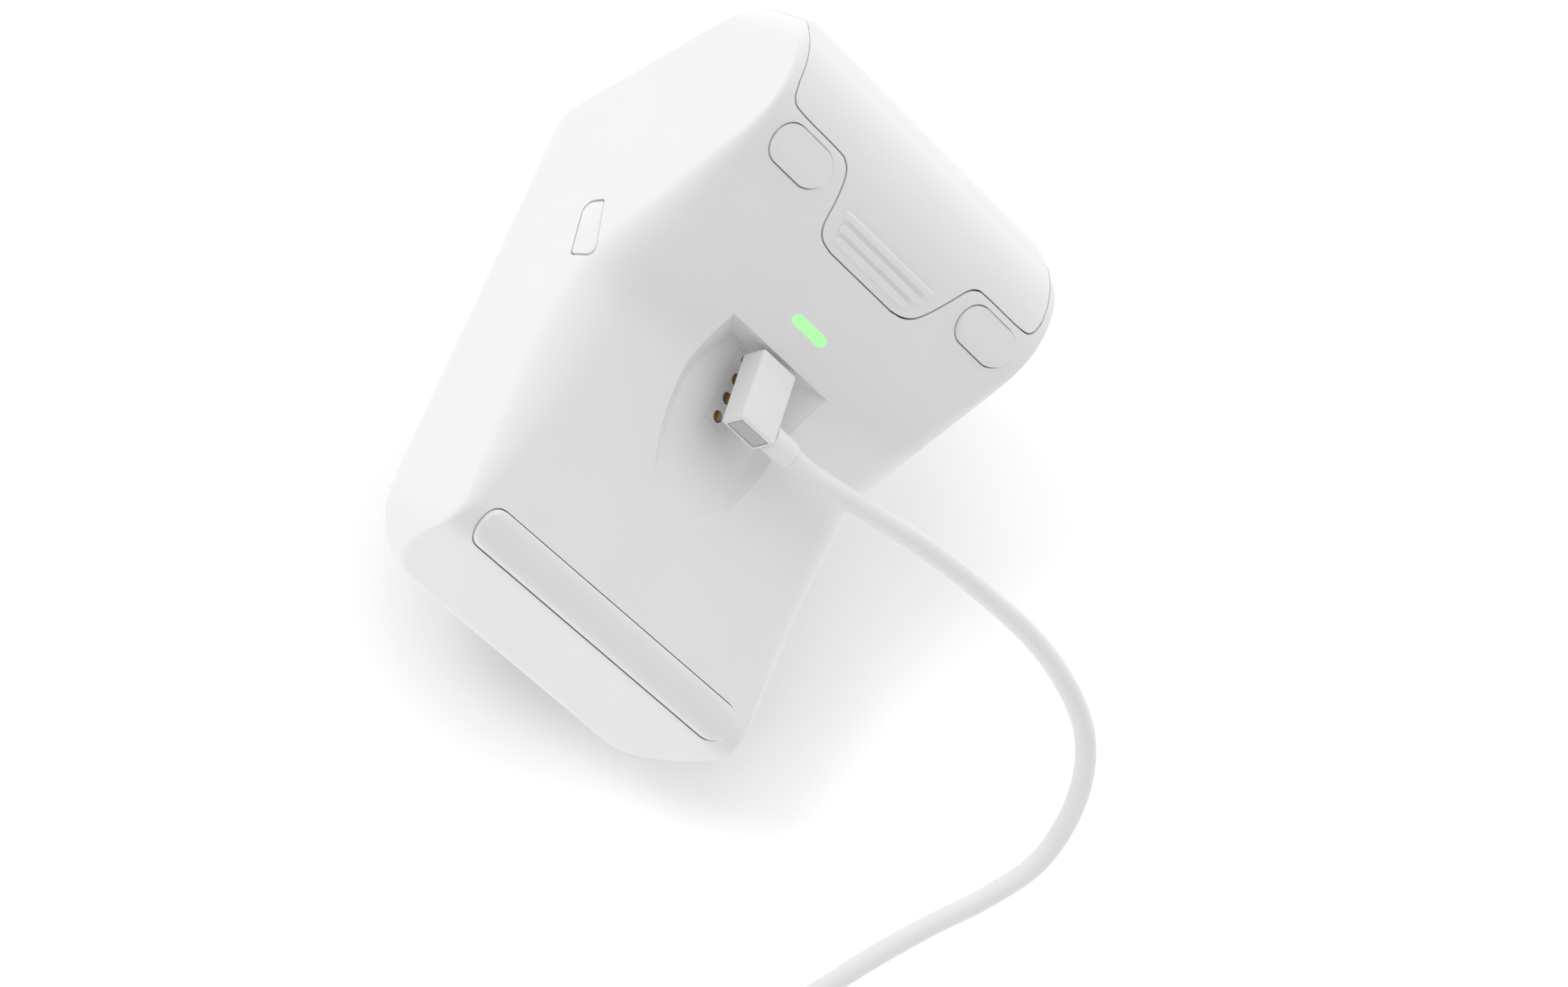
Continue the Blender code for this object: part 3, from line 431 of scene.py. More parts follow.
# %% The door's outline
def door_outline(grow):
    """Plan of the printer door's lower part, grown by grow: a tab in front, then its full width behind the feet."""
    tab_y, tab_half, root_half = TAB
    side = softened([
        (tab_half - 3.2 * MM + grow, tab_y - grow),
        (tab_half + 0.2 * MM + grow, tab_y + 0.8 * MM - grow),
        (tab_half + 2.6 * MM + grow, tab_y + 3.0 * MM - grow),
        (root_half - 2.6 * MM + grow, DOOR_FRONT_Y - 6.6 * MM - grow),
        (root_half - 0.8 * MM + grow, DOOR_FRONT_Y - 2.4 * MM - grow),
        (root_half + 1.2 * MM + grow, DOOR_FRONT_Y - 0.5 * MM - grow),
        (root_half + 4.0 * MM + grow, DOOR_FRONT_Y - grow),
        (DOOR_HALF - 4.0 * MM + grow, DOOR_FRONT_Y + 0.2 * MM - grow),
        (DOOR_HALF - 1.0 * MM + grow, DOOR_FRONT_Y + 1.4 * MM - grow),
        (DOOR_HALF + grow, DOOR_FRONT_Y + 4.6 * MM - grow),
    ])
    return seen_from_above(side + [(DOOR_HALF + grow, 150 * MM)])


def door_space(name, grow):
    """The part of the body's form that belongs to the door: the rear above the tab, up to the slot at the peak."""
    side = [(SLOT[1] - grow, 75 * MM), (SLOT[1] - grow, 56 * MM - grow), (117 * MM - grow, 34 * MM - grow),
            (117 * MM - grow, 12 * MM), (150 * MM, 12 * MM), (150 * MM, 75 * MM)]
    upper = flat_plate(name + "_upper", side, 2 * (DOOR_HALF + grow), rotation=(math.pi / 2, 0, math.pi / 2))
    lower = flat_plate(name + "_lower", door_outline(grow), 18 * MM, location=(0, 0, 7 * MM))
    join(upper, lower)
    return upper


# %% Plates on the sloped top
top_frame = {"location": (0, 0, top_z(0)), "tilt": TOP_TILT}
slope_end = SLOT[0] / math.cos(TOP_TILT)


def top_plate(name, spans, radii, heights):
    """A plate with rounded corners in the frame of the sloped top; spans holds its half width, front and back."""
    half, front, back = spans
    corners = [(half, front, radii[0]), (half, back, radii[1]), (-half, back, radii[1]), (-half, front, radii[0])]
    outline = rounded(corners)
    up = Matrix.Rotation(TOP_TILT, 3, "X") @ Vector((0, 0, sum(heights) / 2))
    return flat_plate(name, outline, heights[1] - heights[0], Vector((0, 0, top_z(0))) + up, (TOP_TILT, 0, 0))


def lid_prism(name, inset, depth):
    """The lid's rounded outline on the sloped top, from depth below the top to well above it."""
    spans = (40.4 * MM - inset, 3.0 * MM + inset, slope_end + GAP - inset)
    return top_plate(name, spans, (10.4 * MM, 0.5 * MM), (-depth, 20 * MM))


# %% The charging dock's scoop
def dock_floor_z(y):
    point_y, point_z, slope = DOCK_FLOOR
    return min(point_z + (y - point_y) * slope, under_front_z(DOCK_FRONT_Y) + (y - DOCK_FRONT_Y) * 0.42)


def dock_half(y):
    """Half width of the dock's mouth: straight at the rear, closing in an arc towards the front."""
    if y > 70 * MM:
        return DOCK_HALF
    return DOCK_HALF * math.sqrt(max(1 - ((70 * MM - y) / (29.5 * MM)) ** 2.2, 0))


def scoop(name):
    """The dock: a height field over the underside, with flared sides, an upright rear wall and a fading front."""
    bm = bmesh.new()
    columns = [x * 0.5 * MM for x in range(-33, 34)]
    rows = spread(DOCK_FRONT_Y - 3 * MM, DOCK_REAR_Y - 1.2 * MM, 60)
    rows += [DOCK_REAR_Y - step * MM for step in (1.2, 0.9, 0.7, 0.5, 0.35, 0.2, 0.1, 0.0, -0.15, -0.3)]
    grid = []
    for y in rows:
        deepest = dock_floor_z(y) - skin_z(y)
        half = max(dock_half(y), 0)
        line = []
        for x in columns:
            side = (half - abs(x)) * 1.05
            rear = (DOCK_REAR_Y - y) * 9 + 0.4 * MM
            depth = soft_min(soft_min(deepest, side, 1.2 * MM), rear, 0.6 * MM)
            line.append(bm.verts.new((x, y, skin_z(y) + max(depth, -1.5 * MM))))
        grid.append(line)
    base = [[bm.verts.new((vert.co.x, vert.co.y, -8 * MM)) for vert in line] for line in grid]
    for sheet, flip in ((grid, 1), (base, -1)):
        for line, following in zip(sheet, sheet[1:]):
            for k in range(len(columns) - 1):
                bm.faces.new((line[k], line[k + 1], following[k + 1], following[k])[::flip])
    rim = [line[0] for line in grid] + grid[-1][1:] + [line[-1] for line in reversed(grid[:-1])] + grid[0][-2:0:-1]
    low = [line[0] for line in base] + base[-1][1:] + [line[-1] for line in reversed(base[:-1])] + base[0][-2:0:-1]
    for k in range(len(rim)):
        n = (k + 1) % len(rim)
        bm.faces.new((rim[k], rim[n], low[n], low[k]))
    return place(name, mesh_from(bm, name))


# %% The feet's shape
def soft_min(a, b, width):
    """The lesser of two numbers, blended where they are within width of each other."""
    share = min(max(0.5 + 0.5 * (b - a) / width, 0), 1)
    return b + (a - b) * share - width * share * (1 - share) / 2


def pillow(name, centre, run, radius, layers, lowest=None):
    """A stadium-shaped block that follows the underside; each layer is (inset from outline, rise from skin)."""
    x0, y0 = centre
    bm = bmesh.new()
    rings = []
    for inset, rise in layers:
        ring = []
        for u, v in stadium(run, radius - inset, 20):
            z = skin_z(y0 + v) + rise
            ring.append(bm.verts.new((x0 + u, y0 + v, z if lowest is None else max(z, lowest))))
        rings.append(ring)
    for ring, following in zip(rings, rings[1:]):
        for k in range(len(ring)):
            n = (k + 1) % len(ring)
            bm.faces.new((ring[k], ring[n], following[n], following[k]))
    bm.faces.new(rings[0])
    bm.faces.new(rings[-1])
    return place(name, mesh_from(bm, name))


# %% [markdown]
# ## Materials
# Every colour comes from nodes on object coordinates. Moulded plastic carries a fine bump and a faint tonal drift;
# the lesson is that even white needs a little texture, or it reads as paper.

# %% A material's shader
def shader_of(name):
    material = bpy.data.materials.new(name)
    material.use_nodes = True
    return material, material.node_tree.nodes, material.node_tree.links, material.node_tree.nodes["Principled BSDF"]


# %% Moulded plastic
def moulded(name, colour, roughness, grain=900.0, bump=0.04, drift=0.02, metallic=0.0, coat=0.0):
    """A surface with a fine grain: a slow tonal drift in its colour, and a fast one in roughness and bump."""
    material, nodes, links, shader = shader_of(name)
    place_at = nodes.new("ShaderNodeTexCoord")
    slow = nodes.new("ShaderNodeTexNoise")
    slow.inputs["Scale"].default_value = 45.0
    fast = nodes.new("ShaderNodeTexNoise")
    fast.inputs["Scale"].default_value = grain
    fast.inputs["Detail"].default_value = 4.0
    for noise in (slow, fast):
        links.new(place_at.outputs["Object"], noise.inputs["Vector"])
    tint = nodes.new("ShaderNodeMix")
    tint.data_type = "RGBA"
    tint.inputs["A"].default_value = (*colour, 1)
    tint.inputs["B"].default_value = (*(channel * (1 - drift * 2) for channel in colour), 1)
    links.new(slow.outputs["Fac"], tint.inputs["Factor"])
    links.new(tint.outputs["Result"], shader.inputs["Base Color"])
    rough = nodes.new("ShaderNodeMapRange")
    rough.inputs["To Min"].default_value = roughness * 0.88
    rough.inputs["To Max"].default_value = min(roughness * 1.12, 1.0)
    links.new(fast.outputs["Fac"], rough.inputs["Value"])
    links.new(rough.outputs["Result"], shader.inputs["Roughness"])
    relief = nodes.new("ShaderNodeBump")
    relief.inputs["Strength"].default_value = bump
    relief.inputs["Distance"].default_value = 0.0002
    links.new(fast.outputs["Fac"], relief.inputs["Height"])
    links.new(relief.outputs["Normal"], shader.inputs["Normal"])
    shader.inputs["Metallic"].default_value = metallic
    shader.inputs["Coat Weight"].default_value = coat
    return material


# %% Glowing light
def glowing(name, colour, strength):
    """The status light: a lit, milky light pipe whose glow varies a little at random."""
    material, nodes, links, shader = shader_of(name)
    place_at = nodes.new("ShaderNodeTexCoord")
    noise = nodes.new("ShaderNodeTexNoise")
    noise.inputs["Scale"].default_value = 120.0
    links.new(place_at.outputs["Object"], noise.inputs["Vector"])
    glow = nodes.new("ShaderNodeMapRange")
    glow.inputs["To Min"].default_value = strength * 0.95
    glow.inputs["To Max"].default_value = strength * 1.05
    links.new(noise.outputs["Fac"], glow.inputs["Value"])
    links.new(glow.outputs["Result"], shader.inputs["Emission Strength"])
    shader.inputs["Emission Color"].default_value = (*colour, 1)
    shader.inputs["Base Color"].default_value = (*(channel * 0.2 for channel in colour), 1)
    shader.inputs["Roughness"].default_value = 0.4
    return material


# %% Wound paper
def wound_paper(name):
    """Thermal paper, with the rings of its windings on the ends."""
    material, nodes, links, shader = shader_of(name)
    place_at = nodes.new("ShaderNodeTexCoord")
    shift = nodes.new("ShaderNodeMapping")
    shift.inputs["Location"].default_value = (0, MIDDLE_Y - ROLL[0], -ROLL[1])
    shift.inputs["Scale"].default_value = (0, 1, 1)
    rings = nodes.new("ShaderNodeTexGradient")
    rings.gradient_type = "SPHERICAL"
    wave = nodes.new("ShaderNodeMath")
    wave.operation = "MULTIPLY"
    wave.inputs[1].default_value = 28000.0
    ripple = nodes.new("ShaderNodeMath")
    ripple.operation = "SINE"
    tint = nodes.new("ShaderNodeMapRange")
    tint.inputs["From Min"].default_value = -1.0
    tint.inputs["To Min"].default_value = 0.8
    tint.inputs["To Max"].default_value = 0.9
    links.new(place_at.outputs["Object"], shift.inputs["Vector"])
    links.new(shift.outputs["Vector"], rings.inputs["Vector"])
    links.new(rings.outputs["Fac"], wave.inputs[0])
    links.new(wave.outputs[0], ripple.inputs[0])
    links.new(ripple.outputs[0], tint.inputs["Value"])
    links.new(tint.outputs["Result"], shader.inputs["Base Color"])
    shader.inputs["Roughness"].default_value = 0.85
    return material


# %% Every look, and the pieces that wear it
LOOKS = {
    "white_plastic": moulded("white_plastic", (0.86, 0.86, 0.86), 0.48),
    "white_rubber": moulded("white_rubber", (0.87, 0.87, 0.87), 0.55, grain=600.0),
    "pale_rubber": moulded("pale_rubber", (0.85, 0.85, 0.85), 0.7, grain=1500.0, bump=0.08),
    "dark_glass": moulded("dark_glass", (0.008, 0.008, 0.01), 0.04, bump=0.0, coat=0.5),
    "black_plastic": moulded("black_plastic", (0.02, 0.02, 0.022), 0.35),
    "grey_plastic": moulded("grey_plastic", (0.55, 0.55, 0.55), 0.5),
    "circuit_board": moulded("circuit_board", (0.03, 0.16, 0.07), 0.35, grain=300.0, drift=0.15),
    "copper": moulded("copper", (0.8, 0.42, 0.22), 0.3, metallic=1.0),
    "gold_contact": moulded("gold_contact", (0.5, 0.3, 0.1), 0.3, grain=2500.0, drift=0.3, metallic=0.6),
    "green_light": glowing("green_light", (0.4, 1.0, 0.37), 1.0),
    "dark_rubber": moulded("dark_rubber", (0.05, 0.05, 0.05), 0.7, grain=1500.0),
    "steel": moulded("steel", (0.55, 0.56, 0.58), 0.32, metallic=1.0, bump=0.02),
    "paper": wound_paper("paper"),
}
plastic = LOOKS["white_plastic"]

for entry in frame["record"]["subparts"]:
    node = frame["nodes"][entry["node"]]
    node.data.materials.clear()
    node.data.materials.append(LOOKS[entry["material_slot"]])
    node.data.shade_smooth()
    node.data.set_sharp_from_angle(angle=math.radians(35))

# %% [markdown]
# ## The cord
# It leaves the plug, sags to the ground, swings round and runs into the coil of its spare length. A loop works out
# the coil: flat turns that all step inwards over the same quarter, then a second layer that steps outwards again.

# %% Where the cord leaves the plug
turn_to_plug = Matrix.Rotation(PLUG_TILT, 3, "X")
half_x, half_y, half_z = (size / 2 for size in PLUG)
lead_axis = PLUG_REST + turn_to_plug @ Vector((0, LEAD_OFFSET, 0))
RELIEF_LENGTH = 6.6 * MM
relief_x = PLUG_REST.x - half_x - GAP - RELIEF_LENGTH / 2
cord_exit = Vector((relief_x - RELIEF_LENGTH / 2 - GAP, lead_axis.y, lead_axis.z))
# %% The cord's route
CORD_ROUTE = [
    cord_exit,
    *(Vector(point) * MM for point in (
        (-18, 65.6, 5.3), (-24, 66.2, 4.4), (-30.5, 67.1, 3.3), (-37.5, 68.2, 2.6), (-51, 70.1, 2.4),
        (-69.4, 71.5, 2.4), (-89, 71.4, 2.4), (-105.6, 67.8, 2.4), (-116.2, 61.4, 2.4), (-122.3, 51, 2.4),
        (-123.3, 37.6, 2.4),
        (-117.6, 24.4, 2.4), (-109.2, 11.2, 2.4), (-101.8, -2.0, 2.4), (-94.2, -17.3, 2.4))),
]

# %% Sizes of the coil
COIL = Vector((-111.5 * MM, -47.5 * MM, 0))
COIL_RADIUS = 25.3 * MM
PITCH = 4.68 * MM                # from one turn's middle to the next
COIL_START = 60.2                # angle at which the route meets the coil, in degrees
STEP_FROM, STEP_TO = 150.0, 240.0    # the quarter in which every turn steps sideways
leave_angle = math.radians(29.4)
leave_from = COIL + (COIL_RADIUS + 2 * CORD_RADIUS) * Vector((math.cos(leave_angle), math.sin(leave_angle), 0))
leave_along = Vector((math.sin(leave_angle), -math.cos(leave_angle), 0))
FAR_HEIGHT = 4.1 * MM


# %% The coil's turns and the way out
def ease(share):
    share = min(max(share, 0), 1)
    return share * share * (3 - 2 * share)


def coil_points():
    """Points of the coil from its outer turn inwards, up, and outwards again."""
    points = []
    travelled = 35.0
    last = COIL_START - math.degrees(leave_angle) + 5 * 360
    while travelled < last - 6:
        radius = COIL_RADIUS + 2 * CORD_RADIUS
        height = CORD_RADIUS + 0.1 * MM
        for lap, step in enumerate((-1, -1, 0, 1, 1)):
            share = (travelled - lap * 360 - STEP_FROM) / (STEP_TO - STEP_FROM)
            radius += step * PITCH * ease(share)
            if step == 0:
                height += PITCH * ease(share)
                radius -= 2.8 * MM * math.sin(math.pi * min(max(share, 0), 1))
        angle = math.radians(COIL_START - travelled)
        points.append(COIL + Vector((radius * math.cos(angle), radius * math.sin(angle), height)))
        travelled += 12
    return points


def leaving_points():
    """The last stretch: level off the top layer, then down to the far plug."""
    points = []
    for share in (0.0, 0.25, 0.5, 0.7, 0.85, 1.0):
        height = CORD_RADIUS + 0.1 * MM + PITCH
        height += (FAR_HEIGHT - height) * share ** 4
        points.append(leave_from + leave_along * (17.8 * MM * share) + Vector((0, 0, height)))
    return points


# %% The cord as one tube
cord_points = smooth_path(CORD_ROUTE + coil_points() + leaving_points(), 2.2 * MM)
cord_points = [point - Vector((0, MIDDLE_Y, 0)) for point in cord_points]
cord_curve = bpy.data.curves.new("cord_line", "CURVE")
cord_curve.dimensions = "3D"
cord_curve.bevel_depth = CORD_RADIUS
cord_curve.bevel_resolution = 7
cord_curve.use_fill_caps = True
cord_spline = cord_curve.splines.new("POLY")
cord_spline.points.add(len(cord_points) - 1)
for knot, point in zip(cord_spline.points, cord_points):
    knot.co = (*point, 1)
cord_draft = bpy.data.objects.new("cord_draft", cord_curve)
drafts.objects.link(cord_draft)
bpy.context.view_layer.update()
cord_mesh = bpy.data.meshes.new_from_object(cord_draft.evaluated_get(bpy.context.evaluated_depsgraph_get()))
cord_mesh.materials.clear()
cord_mesh.materials.append(LOOKS["white_rubber"])
cord_mesh.shade_smooth()
cord = bpy.data.objects.new("cord", cord_mesh)
scene.collection.objects.link(cord)
cord_draft.hide_render = True


# %% [markdown]
# ## Housing
# The body form is hollowed and cut as the CAD model is: the lid's recess, the door's room, the dock, the feet's
# wells and the openings of the button and the light. Gaps of a third of a millimetre draw the seams.

# %% Places on the housing
button_corners = [
    (80.9 * MM, 35.1 * MM, 2.4 * MM), (69.4 * MM, 26.9 * MM, 1.5 * MM), (71.2 * MM, 19.0 * MM, 1.8 * MM),
    (82.9 * MM, 29.3 * MM, 1.2 * MM),
]
button_middle = Vector([sum(corner[k] for corner in button_corners) / 4 for k in (0, 1)])
button_face = [((Vector(corner[:2]) - button_middle) * 0.93)[:] + (corner[2] * 0.85,) for corner in button_corners]
SIDEWAYS = (math.pi / 2, 0, math.pi / 2)
dock_middle = (0, DOCK_FLOOR[0] + 2.1 * MM, DOCK_FLOOR[1] + 2.1 * MM * DOCK_FLOOR[2])
dock_frame = {"location": dock_middle, "tilt": DOCK_TILT}
light_frame = {"location": (-0.2 * MM, 87.3 * MM, under_rear_z(87.3 * MM)),
               "rotation": (-math.atan(UNDER_REAR_SLOPE), 0, 0)}
FEET = {
    "front_foot": ((0, FRONT_FOOT[1]), FRONT_FOOT[0], FRONT_FOOT[2]),
    "rear_foot_right": ((REAR_FOOT[0], REAR_FOOT[1]), REAR_FOOT[3], REAR_FOOT[2]),
    "rear_foot_left": ((-REAR_FOOT[0], REAR_FOOT[1]), REAR_FOOT[3], REAR_FOOT[2]),
}
SCREWS = [(x, y) for y in (FRONT_FOOT[1] + 0.4 * MM, REAR_FOOT[1]) for x in (-REAR_FOOT[0], REAR_FOOT[0])]
# %% Hollowing and cutting the housing
housing = body_form("housing")
hollow = loft("housing_hollow", HOLLOW_CORNERS, 40.6 * MM, (10.4 * MM, 1.0 * MM), (1.0 * MM, 9.0 * MM), 1.0 * MM,
              arc_steps=4, spacing=6 * MM)
slot_space = box("slot_space", (-DOOR_HALF - GAP, DOOR_HALF + GAP), (SLOT[0] - 4 * MM, SLOT[1] + 2 * MM),
                 (47 * MM, 80 * MM))
cut(housing, hollow, lid_prism("lid_space", 0, LID_DEPTH), slot_space, door_space("door_room", GAP), scoop("dock"))
block_room = box("block_room", (-3.04 * MM, 3.04 * MM), (-8.74 * MM, 8.14 * MM), (-0.5 * MM, 1.9 * MM), **dock_frame)
cut(housing, block_room)
for number, (x, y) in enumerate(SCREWS, 1):
    boss_top = 11.2 * MM if y < MIDDLE_Y else 7.0 * MM
    join(housing, rod(f"screw_boss_{number}", (x, y, boss_top / 2 + 1.1 * MM), 3.6 * MM, boss_top - 2.2 * MM, "Z"))
for name, (centre, run, radius) in FEET.items():
    cut(housing, pillow(name + "_well", centre, run, radius, [(-GAP, 1.3 * MM), (-GAP, -8 * MM)]))
for number, (x, y) in enumerate(SCREWS, 1):
    cut(housing, rod(f"screw_hole_{number}", (x, y, 6 * MM), 1.3 * MM, 14 * MM, "Z"),
        rod(f"screw_seat_{number}", (x, y, 2.1 * MM), 2.6 * MM, 5.6 * MM, "Z"))
cut(housing, flat_plate("light_hole", stadium(3.9 * MM, 1.25 * MM), 16 * MM, **light_frame),
    flat_plate("button_hole", rounded(button_corners), 8 * MM, location=(43 * MM, 0, 0), rotation=SIDEWAYS))
for side in (1, -1):
    cut(housing, rod(f"pin_seat_{side}", (side * 40.6 * MM, *HINGE), 1.3 * MM, 3.8 * MM))
settle(housing, "housing_skin", plastic, "terminal", ["main_housing"])

# %% Feet
for name, (centre, run, radius) in FEET.items():
    layers = [(0, 0.95 * MM), (0, -0.45 * MM)]
    layers += [(0.75 * MM * (1 - math.cos(a)), -0.45 * MM - 0.65 * MM * math.sin(a)) for a in spread(0.2, 1.6, 7)]
    layers += [(inset * MM, -1.1 * MM) for inset in (1.2, 2.0, 3.2) if inset * MM < radius - 0.2 * MM]
    foot = pillow(name, centre, run, radius, layers, 0.0)
    settle(foot, name + "_pad", LOOKS["pale_rubber"], "terminal", [name])

# %% Status light
light = flat_plate("light", stadium(3.9 * MM, 1.12 * MM), 2.4 * MM,
                   location=Vector(light_frame["location"]) + Vector((0, 0.33 * 1.1 * MM, 1.15 * MM)),
                   rotation=light_frame["rotation"], round_edges=0.15 * MM)
settle(light, "status_light_pipe", LOOKS["green_light"], "terminal", ["status_light"])

# %% [markdown]
# ## Lid, glass and button
# The lid is the terminal's flat top, a thin slab with a wide opening that the touch glass sits in. It could be a
# plate of its own, but it is the top slice of the body form, so that its edge and the housing's run on as one. The
# button is a small plate in the side wall, and its symbol is two thin curves with a round section.

# %% Lid
lid = body_form("lid")
change(lid, lid_prism("lid_slab", GAP, LID_DEPTH - GAP), "INTERSECT")
cut(lid, top_plate("glass_seat", (38.4 * MM, 5.0 * MM, 92.2 * MM), (8.6 * MM, 3.0 * MM), (-1.5 * MM, 9 * MM)),
    box("lid_opening", (-36.4 * MM, 36.4 * MM), (9 * MM, 88.4 * MM), (-20 * MM, 9 * MM), **top_frame))
settle(lid, "lid_frame", plastic, "terminal", ["display_bezel"])

# %% Power button
button = flat_plate("button", rounded(button_face), 2.2 * MM, location=(WIDTH / 2 - 1.1 * MM, *button_middle),
                    rotation=SIDEWAYS, round_edges=0.25 * MM)
join(button, rod("button_stem", (40.6 * MM, *button_middle), 1.6 * MM, 1.4 * MM))
settle(button, "button_cap", plastic, "power_button", ["power_button"])


# %% The button's symbol
def symbol_line(name, points):
    """A fine line moulded into the button's face."""
    curve = bpy.data.curves.new(name, "CURVE")
    curve.dimensions = "3D"
    curve.bevel_depth = 0.13 * MM
    curve.bevel_resolution = 2
    curve.use_fill_caps = True
    spline = curve.splines.new("POLY")
    spline.points.add(len(points) - 1)
    for knot, (y, z) in zip(spline.points, points):
        knot.co = (WIDTH / 2 - 0.15 * MM, y, z, 1)
    draft = bpy.data.objects.new(name + "_draft", curve)
    draft.parent = design
    drafts.objects.link(draft)
    draft.hide_render = True
    settle(draft, name, LOOKS["grey_plastic"], "power_button")


SYMBOL = (76.9 * MM, 29.1 * MM)
symbol_line("button_ring", arc(SYMBOL, 1.35 * MM, 138.6 + 38, 138.6 + 322, 28))
symbol_line("button_bar", [(SYMBOL[0] + step * MM * math.cos(math.radians(138.6)),
                            SYMBOL[1] + step * MM * math.sin(math.radians(138.6))) for step in (0.25, 1.6)])

# %% [markdown]
# ## Printer door
# The door is the rear of the same form, cut out by its own outline, with three grip ribs on its tab.

# %% Door
DOOR_HOLLOW = [
    (84 * MM, 11.6 * MM, 1 * MM), (118.6 * MM, 0.4 * MM, 19.4 * MM), (137.6 * MM, 23.4 * MM, 11.6 * MM),
    (96.2 * MM, 62.3 * MM, 3 * MM), (84 * MM, 57.2 * MM, 1 * MM),
]
door = body_form("door")
change(door, door_space("door_shape", 0), "INTERSECT")
cut(door, loft("door_hollow", DOOR_HOLLOW, DOOR_HALF - DOOR_WALL, (0.5 * MM, 7.4 * MM), (0.8 * MM, 0.8 * MM),
               0.8 * MM, arc_steps=6, spacing=4 * MM))
for side in (1, -1):
    cut(door, rod(f"pin_hole_{side}", (side * 39 * MM, *HINGE), 1.3 * MM, 6 * MM))
settle(door, "door_skin", plastic, "printer_door", ["printer_door"])
# %% Grip ribs
RIBS = [(13.6 * MM, 108.0 * MM), (12.2 * MM, 105.6 * MM), (10.8 * MM, 103.3 * MM)]
for number, (half, y) in enumerate(RIBS, 1):
    layers = [(0, 0.5 * MM)]
    layers += [(0.72 * MM * (1 - math.cos(a)), -0.75 * MM * math.sin(a)) for a in spread(0.0, 1.5, 7)]
    rib = pillow(f"rib_{number}", (0, y), half, 0.8 * MM, layers)
    settle(rib, f"grip_rib_{number}", plastic, "printer_door", sharp=60)

# %% [markdown]
# ## Contacts, plug and far end
# The dock's contacts are short pins along the slope of its floor. The plug is a rounded box, hollowed for its core
# and its end cap, and the cord enters it through a short soft sleeve. The far end is boxes in line with the cord.

# %% Contact pads
for number, y in enumerate(PAD_YS, 1):
    along = (y - dock_frame["location"][1]) / math.cos(DOCK_TILT)
    centre = Vector(dock_frame["location"]) + Matrix.Rotation(DOCK_TILT, 3, "X") @ Vector((0, along, 0.8 * MM))
    pad = rod(f"pad_{number}", centre, 1.0 * MM, 1.3 * MM, "Z", 32, 0.2 * MM)
    pad.rotation_euler = (DOCK_TILT, 0, 0)
    settle(pad, f"gold_pad_{number}", LOOKS["gold_contact"], "terminal", [f"contact_pad_{number}"])

# %% Plug and its relief
plug_frame = {"location": PLUG_REST, "tilt": PLUG_TILT}
plug = box("plug", (-half_x, half_x), (-half_y, half_y), (-half_z, half_z), **plug_frame, round_edges=0.7 * MM)
cut(plug,
    box("plug_pocket", (-4.2 * MM, 4.2 * MM), (-7.4 * MM, 7.4 * MM), (-0.6 * MM, 5 * MM), **plug_frame),
    box("cap_pocket", (-4.2 * MM, 4.2 * MM), (-12 * MM, -half_y + 0.65 * MM), (-2.1 * MM, 2.1 * MM), **plug_frame))
settle(plug, "plug_body", plastic, "charge_plug", ["plug_shell"], sharp=35)
relief = rod("relief", (relief_x, lead_axis.y, lead_axis.z), 2.9 * MM, RELIEF_LENGTH, "X", 48, 0.5 * MM)
settle(relief, "plug_relief", LOOKS["white_rubber"], "plug_lead", ["strain_relief"], sharp=50)


# %% Far end
def far_piece(name, start, length, width, height, material, node, round_edges):
    piece = box(name, (-width / 2, width / 2), (start, start + length), (-height / 2, height / 2),
                leave_from + Vector((0, 0, FAR_HEIGHT)), 0.0, round_edges)
    piece.rotation_euler = (0, 0, math.atan2(-leave_along.x, leave_along.y))
    return settle(piece, name, material, "terminal", [node], sharp=40)


far_grip = far_piece("far_grip", 27.5 * MM, 24 * MM, 15 * MM, 7.8 * MM, plastic, "usb_overmold", 1.4 * MM)
far_shell = far_piece("far_shell", 51.8 * MM, 12 * MM, 12 * MM, 4.5 * MM, LOOKS["steel"], "usb_shell", 0.25 * MM)

# %% What the cord is to the frame
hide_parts("charge_cord", "cord_coil")
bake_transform(cord)

# %% Clearing the drafts away
for draft in list(drafts.objects):
    bpy.data.objects.remove(draft, do_unlink=True)
bpy.data.objects.remove(design, do_unlink=True)

# %% [markdown]
# ## Stage and light
# The ground is a white sheet that shows from its front only, so it never hides the object from behind. A broad,
# soft source overhead shapes the plastic, and two suns that light only the ground draw the shadow there.

# %% Sizes of the ground
GROUND_NORMAL = (UP * 0.321 + RIGHT * 0.557 - FORWARD * 0.766).normalized()
FRAME_SHAPE = 0.6295             # height of the camera's frame over its width
STEP_MARGIN = 1.03               # how far past the frame's lower edge the ground steps down
STEP_DEPTH = 60 * MM


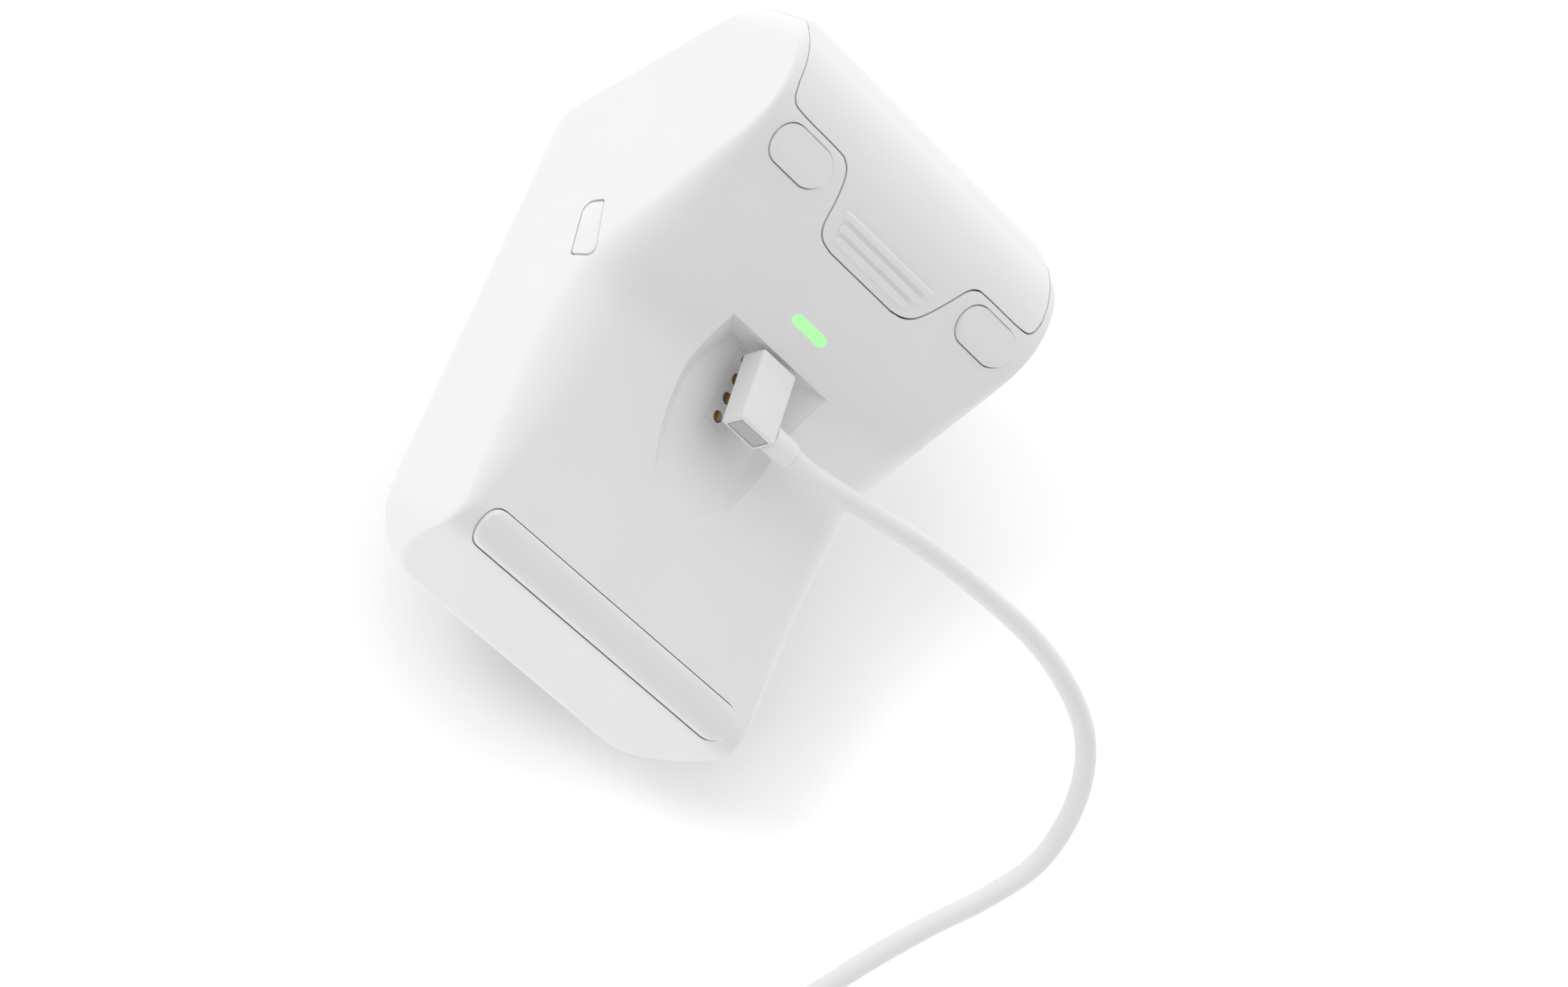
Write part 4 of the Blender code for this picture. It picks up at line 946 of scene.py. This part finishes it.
# %% Ground sheet
def ground_sheet():
    """A plane that just clears the seen part, and steps down outside the camera's view to pass under the coil."""
    lowest = min(point.dot(GROUND_NORMAL) for point in cord_points if point.y > -0.1)
    for node in ("main_housing", "display_bezel"):
        lowest = min([lowest] + [vert.co.dot(GROUND_NORMAL) for vert in frame["nodes"][node].data.vertices])
    level_at = lowest - CORD_RADIUS - 0.2 * MM
    eye = camera.location
    half_height = camera.data.sensor_width / camera.data.lens / 2 * FRAME_SHAPE
    ray = FORWARD - UP * half_height * STEP_MARGIN
    edge = eye + ray * ((level_at - eye.dot(GROUND_NORMAL)) / ray.dot(GROUND_NORMAL))
    along = GROUND_NORMAL.cross(RIGHT.cross(ray)).normalized()
    inward = along.cross(GROUND_NORMAL).normalized()
    if inward.dot(UP) < 0:
        inward.negate()
    step = -GROUND_NORMAL * STEP_DEPTH
    rows = (edge + inward * 3.0, edge, edge + step, edge + step - inward * 1.5)
    verts = [row + along * side for row in rows for side in (-2.0, 2.0)]
    mesh = bpy.data.meshes.new("ground")
    mesh.from_pydata(verts, [], [(2 * k, 2 * k + 1, 2 * k + 3, 2 * k + 2) for k in range(3)])
    if mesh.polygons[0].normal.dot(GROUND_NORMAL) < 0:
        mesh.flip_normals()
    sheet = bpy.data.objects.new("ground", mesh)
    scene.collection.objects.link(sheet)
    return sheet


# %% The ground's white
def one_sided_white():
    material, nodes, links, shader = shader_of("one_sided_white")
    shader.inputs["Base Color"].default_value = (0.8, 0.8, 0.8, 1)
    shader.inputs["Roughness"].default_value = 1.0
    shader.inputs["Specular IOR Level"].default_value = 0.0
    clear = nodes.new("ShaderNodeBsdfTransparent")
    side = nodes.new("ShaderNodeNewGeometry")
    mix = nodes.new("ShaderNodeMixShader")
    links.new(side.outputs["Backfacing"], mix.inputs["Fac"])
    links.new(shader.outputs["BSDF"], mix.inputs[1])
    links.new(clear.outputs["BSDF"], mix.inputs[2])
    links.new(mix.outputs["Shader"], nodes["Material Output"].inputs["Surface"])
    return material


# %% Laying the ground
ground = ground_sheet()
ground.data.materials.append(one_sided_white())

# %% Surroundings
# The surroundings: even all round, and brighter towards a broad soft source overhead
AROUND, OVERHEAD = 0.62, 0.8
world = bpy.data.worlds.new("surroundings")
scene.world = world
world.use_nodes = True
nodes, links = world.node_tree.nodes, world.node_tree.links
facing = nodes.new("ShaderNodeTexCoord")
towards = nodes.new("ShaderNodeVectorMath")
towards.operation = "DOT_PRODUCT"
towards.inputs[1].default_value = UP * 0.94 + RIGHT * 0.34
above = nodes.new("ShaderNodeMath")
above.operation = "MAXIMUM"
above.inputs[1].default_value = 0.0
level = nodes.new("ShaderNodeMath")
level.operation = "MULTIPLY_ADD"
level.inputs[1].default_value = OVERHEAD
level.inputs[2].default_value = AROUND
links.new(facing.outputs["Generated"], towards.inputs[0])
links.new(towards.outputs["Value"], above.inputs[0])
links.new(above.outputs[0], level.inputs[0])
links.new(level.outputs[0], nodes["Background"].inputs["Strength"])
nodes["Background"].inputs["Color"].default_value = (1, 1, 1, 1)

# %% Suns on the ground
# The two suns fall on the ground alone, where they draw the shadow's soft spread and its closer core.
# On white plastic they would burn the near side out
lit = bpy.data.collections.new("lit_by_suns")
lit.objects.link(ground)
travel = RIGHT * 0.22 - UP * 0.33 + FORWARD * 0.92
for name, energy, spread_angle in (("broad_sun", 2.1, 50), ("narrow_sun", 0.9, 14)):
    sun_data = bpy.data.lights.new(name, "SUN")
    sun_data.energy = energy
    sun_data.angle = math.radians(spread_angle)
    sun = bpy.data.objects.new(name, sun_data)
    scene.collection.objects.link(sun)
    sun.rotation_euler = (-travel).to_track_quat("Z", "Y").to_euler()
    sun.light_linking.receiver_collection = lit

# %% View settings
scene.view_settings.view_transform = "Standard"
scene.view_settings.exposure = 0.0
